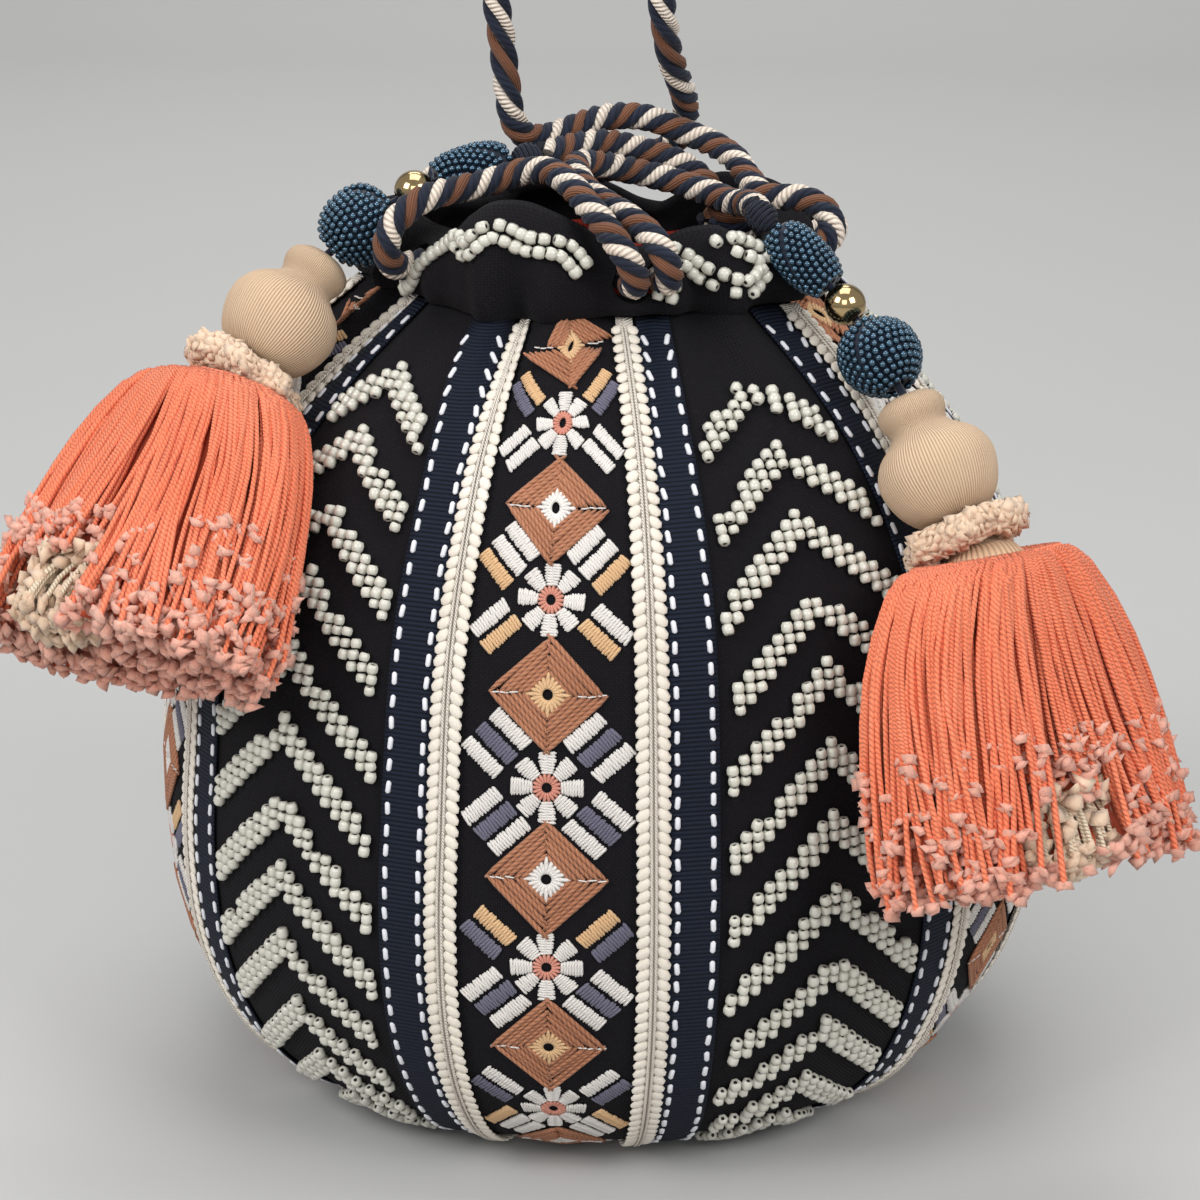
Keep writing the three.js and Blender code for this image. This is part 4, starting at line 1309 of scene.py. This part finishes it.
def barrel_profile(shrink):
    return [(3.9 - shrink * 0.5, -9.1 + shrink * 0.4), (5.6 - shrink, -6.6), (6.4 - shrink, -3),
            (6.5 - shrink, 0), (6.4 - shrink, 3), (5.6 - shrink, 6.6),
            (3.9 - shrink * 0.5, 9.1 - shrink * 0.4)]


def ball_profile(radius, bore):
    start = math.acos(bore / radius)
    return [(radius * math.cos(a), radius * math.sin(a))
            for a in np.linspace(-start, start, 15)]


GOLD = bead_material("polished gold", srgb(196, 172, 130), srgb(180, 154, 110), 0.12,
                     metallic=1.0, coat=0.0)


def closed_bore(profile):
    """Adds the bore's wall, so that the turned bead is a closed ring."""
    return [(BEAD_BORE, profile[0][1])] + profile + [(BEAD_BORE, profile[-1][1]),
                                                     (BEAD_BORE, profile[0][1])]


for side in PENDANTS:
    rng = random.Random(9)
    for part, profile, size in (("barrel", barrel_profile, 1.65), ("ball", None, 1.75)):
        outer = profile(0.7) if profile else ball_profile(9.0, 3.0)
        inner = profile(1.1) if profile else ball_profile(8.6, 2.6)
        core = mesh_from(spun(closed_bore(inner), 24, closed_ends=False))
        covered = gather_meshes([(0, covered_bead(outer, size, rng)), (1, core)])
        covered.transform(hanging(side, part))
        node = f"{side}_barrel_bead" if part == "barrel" else f"{side}_beaded_ball"
        finish_piece(f"{side}_{part}_in_seed_beads", covered, [BLUE_BEAD, NAVY_THREAD],
                     body=f"{side}_{part}", replaces=[node])
    gold = mesh_from(spun(closed_bore(ball_profile(4.8, BEAD_BORE)), 32, closed_ends=False))
    gold.transform(hanging(side, "gold"))
    finish_piece(f"{side}_gold_ball", gold, [GOLD], body=f"{side}_gold",
                 replaces=[f"{side}_gold_bead"])
print("triangles of a beaded ball:", triangle_counts["left_ball_in_seed_beads"])

# %% Threads and knots
THREAD_THICKNESS, KNOT_WRAPS, KNOT_WRAP_THICKNESS = 2.0, 9, 0.95
for side, spots in PENDANTS.items():
    line = smooth_line([spots["knot"][0], spots["barrel"][0], spots["gold"][0],
                        spots["ball"][0], spots["head"][0]], 2.0)
    line = line[np.linalg.norm(line - line[0], axis=1) > 3.6]
    finish_piece(f"{side}_stringing_thread", tubes([line], THREAD_THICKNESS), [NAVY_THREAD],
                 body=f"{side}_pendant", replaces=[f"{side}_bead_thread"])
    wraps = []
    for row in range(KNOT_WRAPS):
        tip = math.pi * (row + 0.7) / 9.6
        ring = [(3.3 * math.sin(tip) * math.cos(a), 3.3 * math.sin(tip) * math.sin(a),
                 3.6 * math.cos(tip) + 0.5 * a / math.tau) for a in np.linspace(0, 6.6, 22)]
        wraps.append(np.array(ring))
    core = mesh_from(spun([(0.2, -3.4), (2.2, -2.6), (3.1, 0), (2.2, 2.6), (0.2, 3.4)], 16))
    # The core has no UV map, so the yarn material gives it its full groove shade: painted shade
    # between the wraps.
    knot = gather_meshes([(0, tubes(wraps, KNOT_WRAP_THICKNESS)), (0, core)])
    knot.transform(hanging(side, "knot"))
    finish_piece(f"{side}_wound_knot", knot, [NAVY_STRAND],
                 replaces=[f"{side}_cord_knot"])

# %% [markdown]
# ## Wound heads, collars and necks
# The head is a turned bead with cotton wound over it from end to end, so the threads run
# down it like the lines on a globe. They are ridges in its material: the UV map runs round
# the form and down it, and a yarn pattern with many plies follows it.

# %% Wind cotton over a turned shape
HEAD_STEPS = 44
COTTON = yarn_material("cream cotton thread", srgb(228, 199, 168), srgb(212, 178, 144), 60,
                       plies=110.0, bump=0.3, groove_shade_share=0.75)
NECK_COTTON = yarn_material("cream neck cotton", srgb(228, 199, 168), srgb(210, 176, 140), 9,
                            plies=44.0, bump=0.35, groove_shade_share=0.6)
PILE = fibre_material("cream pile", srgb(238, 212, 186), srgb(220, 188, 158), scale=1500.0,
                      bump=0.35)
HEAD_PROFILE = [
    (5.2, -0.9), (7.3, -2.4), (8.0, -4.4), (7.5, -6.6), (6.7, -8.5), (8.6, -10.6),
    (11.5, -13.0), (13.4, -16.4), (13.8, -19.3), (13.1, -23), (11.6, -26.5), (9.4, -29.2),
    (7.0, -31),
]
NECK_PROFILE = [
    (5.6, 15), (5.7, 9), (6.4, 7.6), (8.6, 6.4), (10.2, 3.6), (10.8, 0), (10.2, -3.5),
    (8.2, -7), (4.5, -9.8), (0.3, -10.8),
]


def wound_form(profile):
    """A turned form. Its U runs round it once, and its V is the height in millimetres."""
    line = smooth_line([(radius, 0, height) for radius, height in profile], 1.3)
    bm = spun([(radius, height) for radius, _, height in line], HEAD_STEPS)
    uv_layer = bm.loops.layers.uv.new("UVMap")
    for face in bm.faces:
        middle = face.calc_center_median()
        facing = math.atan2(middle.y, middle.x)
        for loop in face.loops:
            spot = loop.vert.co
            turn = math.atan2(spot.y, spot.x) - facing
            turn = (turn + math.pi) % math.tau - math.pi
            loop[uv_layer].uv = ((facing + turn) / math.tau, -spot.z)
    return mesh_from(bm)


for side in PENDANTS:
    for part, profile, cotton, node in (
            ("head", HEAD_PROFILE, COTTON, "tassel_head"),
            ("neck", NECK_PROFILE, NECK_COTTON, "wrapped_neck")):
        form = wound_form(profile)
        form.transform(hanging(side, part))
        finish_piece(f"{side}_wound_{part}", form, [cotton], body=f"{side}_pendant",
                     replaces=[f"{side}_{node}"])
print("triangles of a wound head:", triangle_counts["left_wound_head"])

# %% A frayed tuft, and the ruffled collar of cut pile
TUFT_RADIUS, TUFT_REACHES = 1.25, (0.5, 0.7, 1.1, 1.6)


def frayed_end():
    """The cut end of a yarn: its fibres open into a small uneven tuft."""
    rng = random.Random(4)
    bm = bmesh.new()
    bmesh.ops.create_icosphere(bm, subdivisions=1, radius=TUFT_RADIUS)
    for vert in bm.verts:
        vert.co *= rng.choice(TUFT_REACHES)
    return mesh_from(bm)


end_template = frayed_end()
COLLAR_INNER, COLLAR_OUTER, COLLAR_HEIGHT = 5.95, 15.0, 8.0


def ruffled_collar(rng):
    """A wavy ring with a tuft on each face of it that can be seen."""
    inner, outer = COLLAR_INNER, COLLAR_OUTER
    thick = (outer - inner) / 2
    ring = [(inner + thick + thick * 0.8 * math.cos(a),
             -COLLAR_HEIGHT / 2 + COLLAR_HEIGHT * 0.4 * math.sin(a))
            for a in np.linspace(-math.pi, math.pi, 12)]
    bm = spun(ring, 50, closed_ends=False)
    for vert in bm.verts:
        angle = math.atan2(vert.co.y, vert.co.x)
        radius = math.hypot(vert.co.x, vert.co.y)
        out = (radius - inner) / (outer - inner)
        push = 1.3 * out * math.cos(7 * angle) + 0.8 * noise.noise(vert.co * 0.45)
        vert.co.x *= 1 + push / radius
        vert.co.y *= 1 + push / radius
        vert.co.z += 0.9 * out * math.sin(5 * angle + 1)
    bm.normal_update()
    tufts = []
    for face in bm.faces:
        middle = face.calc_center_median()
        if math.hypot(middle.x, middle.y) < inner + 1.6:
            continue
        lean = Vector([rng.uniform(-0.6, 0.6) for _ in range(3)])
        matrix = (face.normal + lean).to_track_quat("Z", "Y").to_matrix().to_4x4()
        matrix.translation = middle + face.normal * rng.uniform(-0.2, 0.35)
        size = rng.uniform(0.85, 1.3)
        tufts.append((end_template, matrix @ turned(rng.uniform(0, 360))
                      @ sized(size, size, size * 0.8)))
    return gather_meshes([(0, mesh_from(bm)), (0, stamped(tufts))])


for side in PENDANTS:
    collar = ruffled_collar(random.Random(31))
    collar.transform(hanging(side, "collar"))
    finish_piece(f"{side}_pile_collar", collar, [PILE], body=f"{side}_pendant",
                 replaces=[f"{side}_ruffle_collar"])
print("triangles of a collar:", triangle_counts["left_pile_collar"])

# %% [markdown]
# ## Yarn skirts
# A skirt is some hundreds of cut yarns tied at the neck. They hang in locks, cross each
# other a little, and end in soft pale tufts. Each yarn is a tube that follows the skirt's
# outline, with its own depth, lean and length. In one spot the coral yarns are shorter, and
# the undyed yarns of the core show there.

# %% Lay the yarns of a skirt
YARN = yarn_material("coral yarn", srgb(250, 148, 112), srgb(238, 118, 80), 1.0, bump=0.3,
                     roughness=0.85, groove_shade_share=0.5)
YARN_TIP = fibre_material("frayed coral ends", srgb(250, 200, 180), srgb(246, 158, 130),
                          scale=2200.0, bump=0.6)
# Painted shade: a darker coral for the form inside the skirt, where the inner yarns lie in shade.
YARN_INSIDE_SHADE = fibre_material("coral yarn inside shade", srgb(222, 106, 72), srgb(190, 80, 50))
CREAM_YARN = yarn_material("cream yarn", srgb(246, 230, 206), srgb(228, 208, 178), 1.0,
                           bump=0.3)
# Half the width, half the depth and the height of the skirt, from the neck to the cut ends.
SKIRT_SHAPE = smooth_line([
    (10.2, 10.2, 1.0), (12.5, 12.0, 4.2), (17, 14.0, 4.8), (22, 15.5, 2), (27, 16.5, -6),
    (31, 17.5, -16), (34, 19, -28), (36.5, 21, -42), (38.5, 23, -54), (39, 24, -62)], 2.0)
TOWARDS_POUCH, LOCKS = 0.8, 13
YARN_COUNT, YARN_THICKNESS, UNDERSIDE_TUFTS = 720, 1.4, 460
CORE_COUNT, CORE_THICKNESS, CORE_SPREAD = 150, 1.3, (12.5, 10.5)
CREAM_SPOT = {"left": (13, 9), "right": (2, 10)}
SPOT_ROOM, UNDERSIDE_SPOT_ROOM = 15, 11
SKIRT_GROWTH = {"left": 1.03, "right": 1.09}


def skirt_point(share, angle, inside=1.0):
    """A place in the skirt: its share of the length, its angle, and how far out it is."""
    along = np.linspace(0, 1, len(SKIRT_SHAPE))
    wide, deep, height = (np.interp(share, along, SKIRT_SHAPE[:, k]) for k in range(3))
    deep = np.where(np.sin(angle) < 0, deep * TOWARDS_POUCH, deep)
    return np.stack([wide * inside * np.cos(angle), deep * inside * np.sin(angle), height], -1)


def skirt_line(angle, depth, reach, rng):
    """One yarn. It leans with the rest of its lock, and the locks part from each other."""
    share = np.linspace(0, 1, 10) * reach
    turn = angle / math.tau * LOCKS
    lock = math.floor(turn)
    lean = 0.16 * math.sin(turn * 1.9) + 0.08 * math.sin(lock * 5.3) + rng.gauss(0, 0.05)
    closer = (lock + 0.5 - turn) / LOCKS * math.tau * 0.16
    around = angle + lean * share ** 1.4 + closer * np.sin(share * math.pi)
    around += 0.025 * np.sin(share * 9 + rng.uniform(0, 6))
    swell = 0.05 * math.sin(lock * 1.7) + 0.05 * (1 - abs(2 * (turn - lock) - 1))
    inside = 1 - depth * eased(0, 0.6, share) + swell * np.sin(share * math.pi)
    return skirt_point(share, around, inside)


def brush(place, way, rng, low=0.9, high=1.4):
    """A tuft at a place, pointing a way, in a size between low and high."""
    matrix = Vector(way).to_track_quat("Z", "Y").to_matrix().to_4x4()
    matrix.translation = Vector(place)
    size = rng.uniform(low, high)
    return end_template, matrix @ turned(rng.uniform(0, 360)) @ sized(size, size, size)


def yarn_skirt(side, seed):
    rng = random.Random(seed)
    lines, ends = [], []
    spot = Vector(CREAM_SPOT[side])
    for number in range(YARN_COUNT):
        angle = (number * 0.618034 % 1) * math.tau
        outer = number % 2
        depth = rng.uniform(0.0, 0.07) if outer else rng.uniform(0.08, 0.2)
        reach = rng.uniform(0.62, 1.0) if outer else rng.uniform(0.8, 1.0)
        line = skirt_line(angle, depth, reach, rng)
        if (Vector(line[-1][:2]) - spot).length < SPOT_ROOM:
            line = skirt_line(angle, depth, min(reach, rng.uniform(0.66, 0.8)), rng)
        lines.append(line)
        ends.append(brush(line[-1], line[-1] - line[-2], rng))
        if outer:
            aside = [rng.uniform(-1.5, 1.5) for _ in range(3)]
            ends.append(brush(line[-1] + aside, line[-1] - line[-2], rng))
    for _ in range(UNDERSIDE_TUFTS):
        angle, out = rng.uniform(0, math.tau), 0.92 * math.sqrt(rng.random())
        place = skirt_point(rng.uniform(0.93, 1.0), angle, out)
        if (Vector(place[:2]) - spot).length > UNDERSIDE_SPOT_ROOM:
            ends.append(brush(place, (place[0] * 0.02, place[1] * 0.02, -1), rng, 1.1, 1.5))
    return tubes(lines, YARN_THICKNESS, resolution=0), stamped(ends)


def skirt_body():
    """A plain form under the yarns, so that nothing shows between them. Its darker coral is
    painted shade for the yarns deep inside.
    """
    shape = SKIRT_SHAPE[4:-2]
    bm = spun([(wide * (0.8 + height * 0.002), height) for wide, deep, height in shape]
              + [(0.2, -55)], 30)
    for vert in bm.verts:
        narrow = np.interp(-vert.co.z, -shape[:, 2], shape[:, 1] / shape[:, 0])
        vert.co.y *= narrow * (TOWARDS_POUCH if vert.co.y < 0 else 1)
    return mesh_from(bm)


for number, side in enumerate(PENDANTS):
    yarns, ends = yarn_skirt(side, 50 + number)
    skirt = gather_meshes([(0, yarns), (2, skirt_body()), (1, ends)])
    skirt.transform(hanging(side, "skirt") @ Matrix.Scale(SKIRT_GROWTH[side], 4))
    finish_piece(f"{side}_yarn_skirt", skirt, [YARN, YARN_TIP, YARN_INSIDE_SHADE],
                 body=f"{side}_pendant",
                 replaces=[f"{side}_tassel_skirt"])
print("triangles of a skirt:", triangle_counts["left_yarn_skirt"])

# %% The undyed yarns in the middle of the skirt
def cream_core(side, seed):
    """Short undyed yarns, with tufts at their ends and on the sides of the bundle."""
    rng = random.Random(seed)
    lines, ends = [], []
    spot_x, spot_y = CREAM_SPOT[side]
    for _ in range(CORE_COUNT):
        angle, out = rng.uniform(0, math.tau), math.sqrt(rng.random())
        x = spot_x + CORE_SPREAD[0] * out * math.cos(angle)
        y = spot_y + CORE_SPREAD[1] * out * math.sin(angle)
        drop = -61 + 5 * out * out + rng.uniform(-1.5, 1.5)
        top = (x * 0.8, y * 0.8, -44)
        lines.append([top, (x * 0.94, y * 0.94, (drop - 44) / 2), (x, y, drop)])
        ends.append(brush((x, y, drop), (x * 0.03, y * 0.03, -1), rng, 1.0, 1.5))
        if out > 0.55:
            aside = Vector((math.cos(angle), math.sin(angle), 0))
            higher = Vector((0, 0, rng.uniform(1, 13)))
            place = Vector((x, y, drop)) * 0.97 + aside * 0.8 + higher
            ends.append(brush(place, aside, rng, 1.1, 1.6))
    return gather_meshes([(0, tubes(lines, CORE_THICKNESS, resolution=0)),
                          (1, stamped(ends))])


for number, side in enumerate(PENDANTS):
    core = cream_core(side, 60 + number)
    core.transform(hanging(side, "skirt") @ Matrix.Scale(SKIRT_GROWTH[side], 4))
    finish_piece(f"{side}_cream_core", core, [CREAM_YARN, PILE], body=f"{side}_pendant",
                 replaces=[f"{side}_tassel_core"])

# %% The base keeps its packed disc
base = bpy.data.objects["base_panel"]
base.data.materials.clear()
base.data.materials.append(fibre_material("black base cotton", srgb(24, 23, 27),
                                          srgb(44, 42, 46), scale=1500.0))

# %% [markdown]
# ## Floor, backdrop and light
# The pouch stands on a pale table before a plain grey wall, under soft light from both
# sides, from the front and from above. The two side lamps make the highlights on the gold
# balls. A last lamp keeps the far wall as bright as the table.

# %% Floor and backdrop
def plain_surface(name, colour):
    material, tree, shader = start_material(name, colour, 0.9, Specular_IOR_Level=0.1)
    haze = add_node(tree, "TexNoise", {"Vector": pattern_space(tree, "Object"),
                                       "Scale": 1.3, "Detail": 2.0})
    tree.links.new(mixed(tree, haze.outputs[0], colour,
                         tuple(value * 0.96 for value in colour)), shader.inputs["Base Color"])
    return material


# The backdrop's section, in metres: the table, a curve and the wall.
BACKDROP_LINE = ((-2.4, 0), (1.72, 0), (1.9, 0.018), (2.03, 0.09), (2.1, 0.21),
                 (2.13, 0.39), (2.13, 3.0))
BACKDROP_WIDTH = 5.2


def backdrop_mesh():
    bm = bmesh.new()
    line = [bm.verts.new((-BACKDROP_WIDTH / 2, y, z)) for y, z in BACKDROP_LINE]
    edges = [bm.edges.new(pair) for pair in zip(line, line[1:])]
    made = bmesh.ops.extrude_edge_only(bm, edges=edges)
    side = [item for item in made["geom"] if isinstance(item, bmesh.types.BMVert)]
    bmesh.ops.translate(bm, verts=side, vec=(BACKDROP_WIDTH, 0, 0))
    bmesh.ops.recalc_face_normals(bm, faces=bm.faces)
    return mesh_from(bm)


backdrop = bpy.data.objects.new("pale_backdrop", backdrop_mesh())
backdrop.data.materials.append(plain_surface("pale table", srgb(191, 191, 190)))
backdrop.data.polygons.foreach_set("use_smooth", [True] * len(backdrop.data.polygons))
scene.collection.objects.link(backdrop)

# %% Lamps and world
def soft_lamp(name, place, aim, size, power):
    lamp = bpy.data.lights.new(name, "AREA")
    lamp.shape, lamp.size, lamp.energy = "SQUARE", size, power
    holder = bpy.data.objects.new(name, lamp)
    holder.location = place
    way = Vector(place) - Vector(aim)
    holder.rotation_euler = way.to_track_quat("Z", "Y").to_euler()
    scene.collection.objects.link(holder)


soft_lamp("left_softbox", (-0.75, -0.75, 0.85), (0, 0, 0.12), 0.55, 7.5)
soft_lamp("right_softbox", (0.8, -0.7, 0.8), (0, 0, 0.12), 0.55, 5.8)
soft_lamp("front_softbox", (0, -1.3, 0.75), (0, -0.3, 0), 0.6, 3.6)
soft_lamp("top_softbox", (0, 0.1, 1.25), (0, 0.1, 0), 0.8, 5.6)
soft_lamp("wall_softbox", (-0.2, 1.2, 1.5), (-0.3, 2.0, 0.1), 0.9, 11.5)
world = bpy.data.worlds.new("studio")
world.use_nodes = True
background = world.node_tree.nodes["Background"]
background.inputs["Color"].default_value = (1, 1, 1, 1)
background.inputs["Strength"].default_value = 0.42
scene.world = world

# %% Count the triangles
print("triangles in all:", sum(triangle_counts.values()))
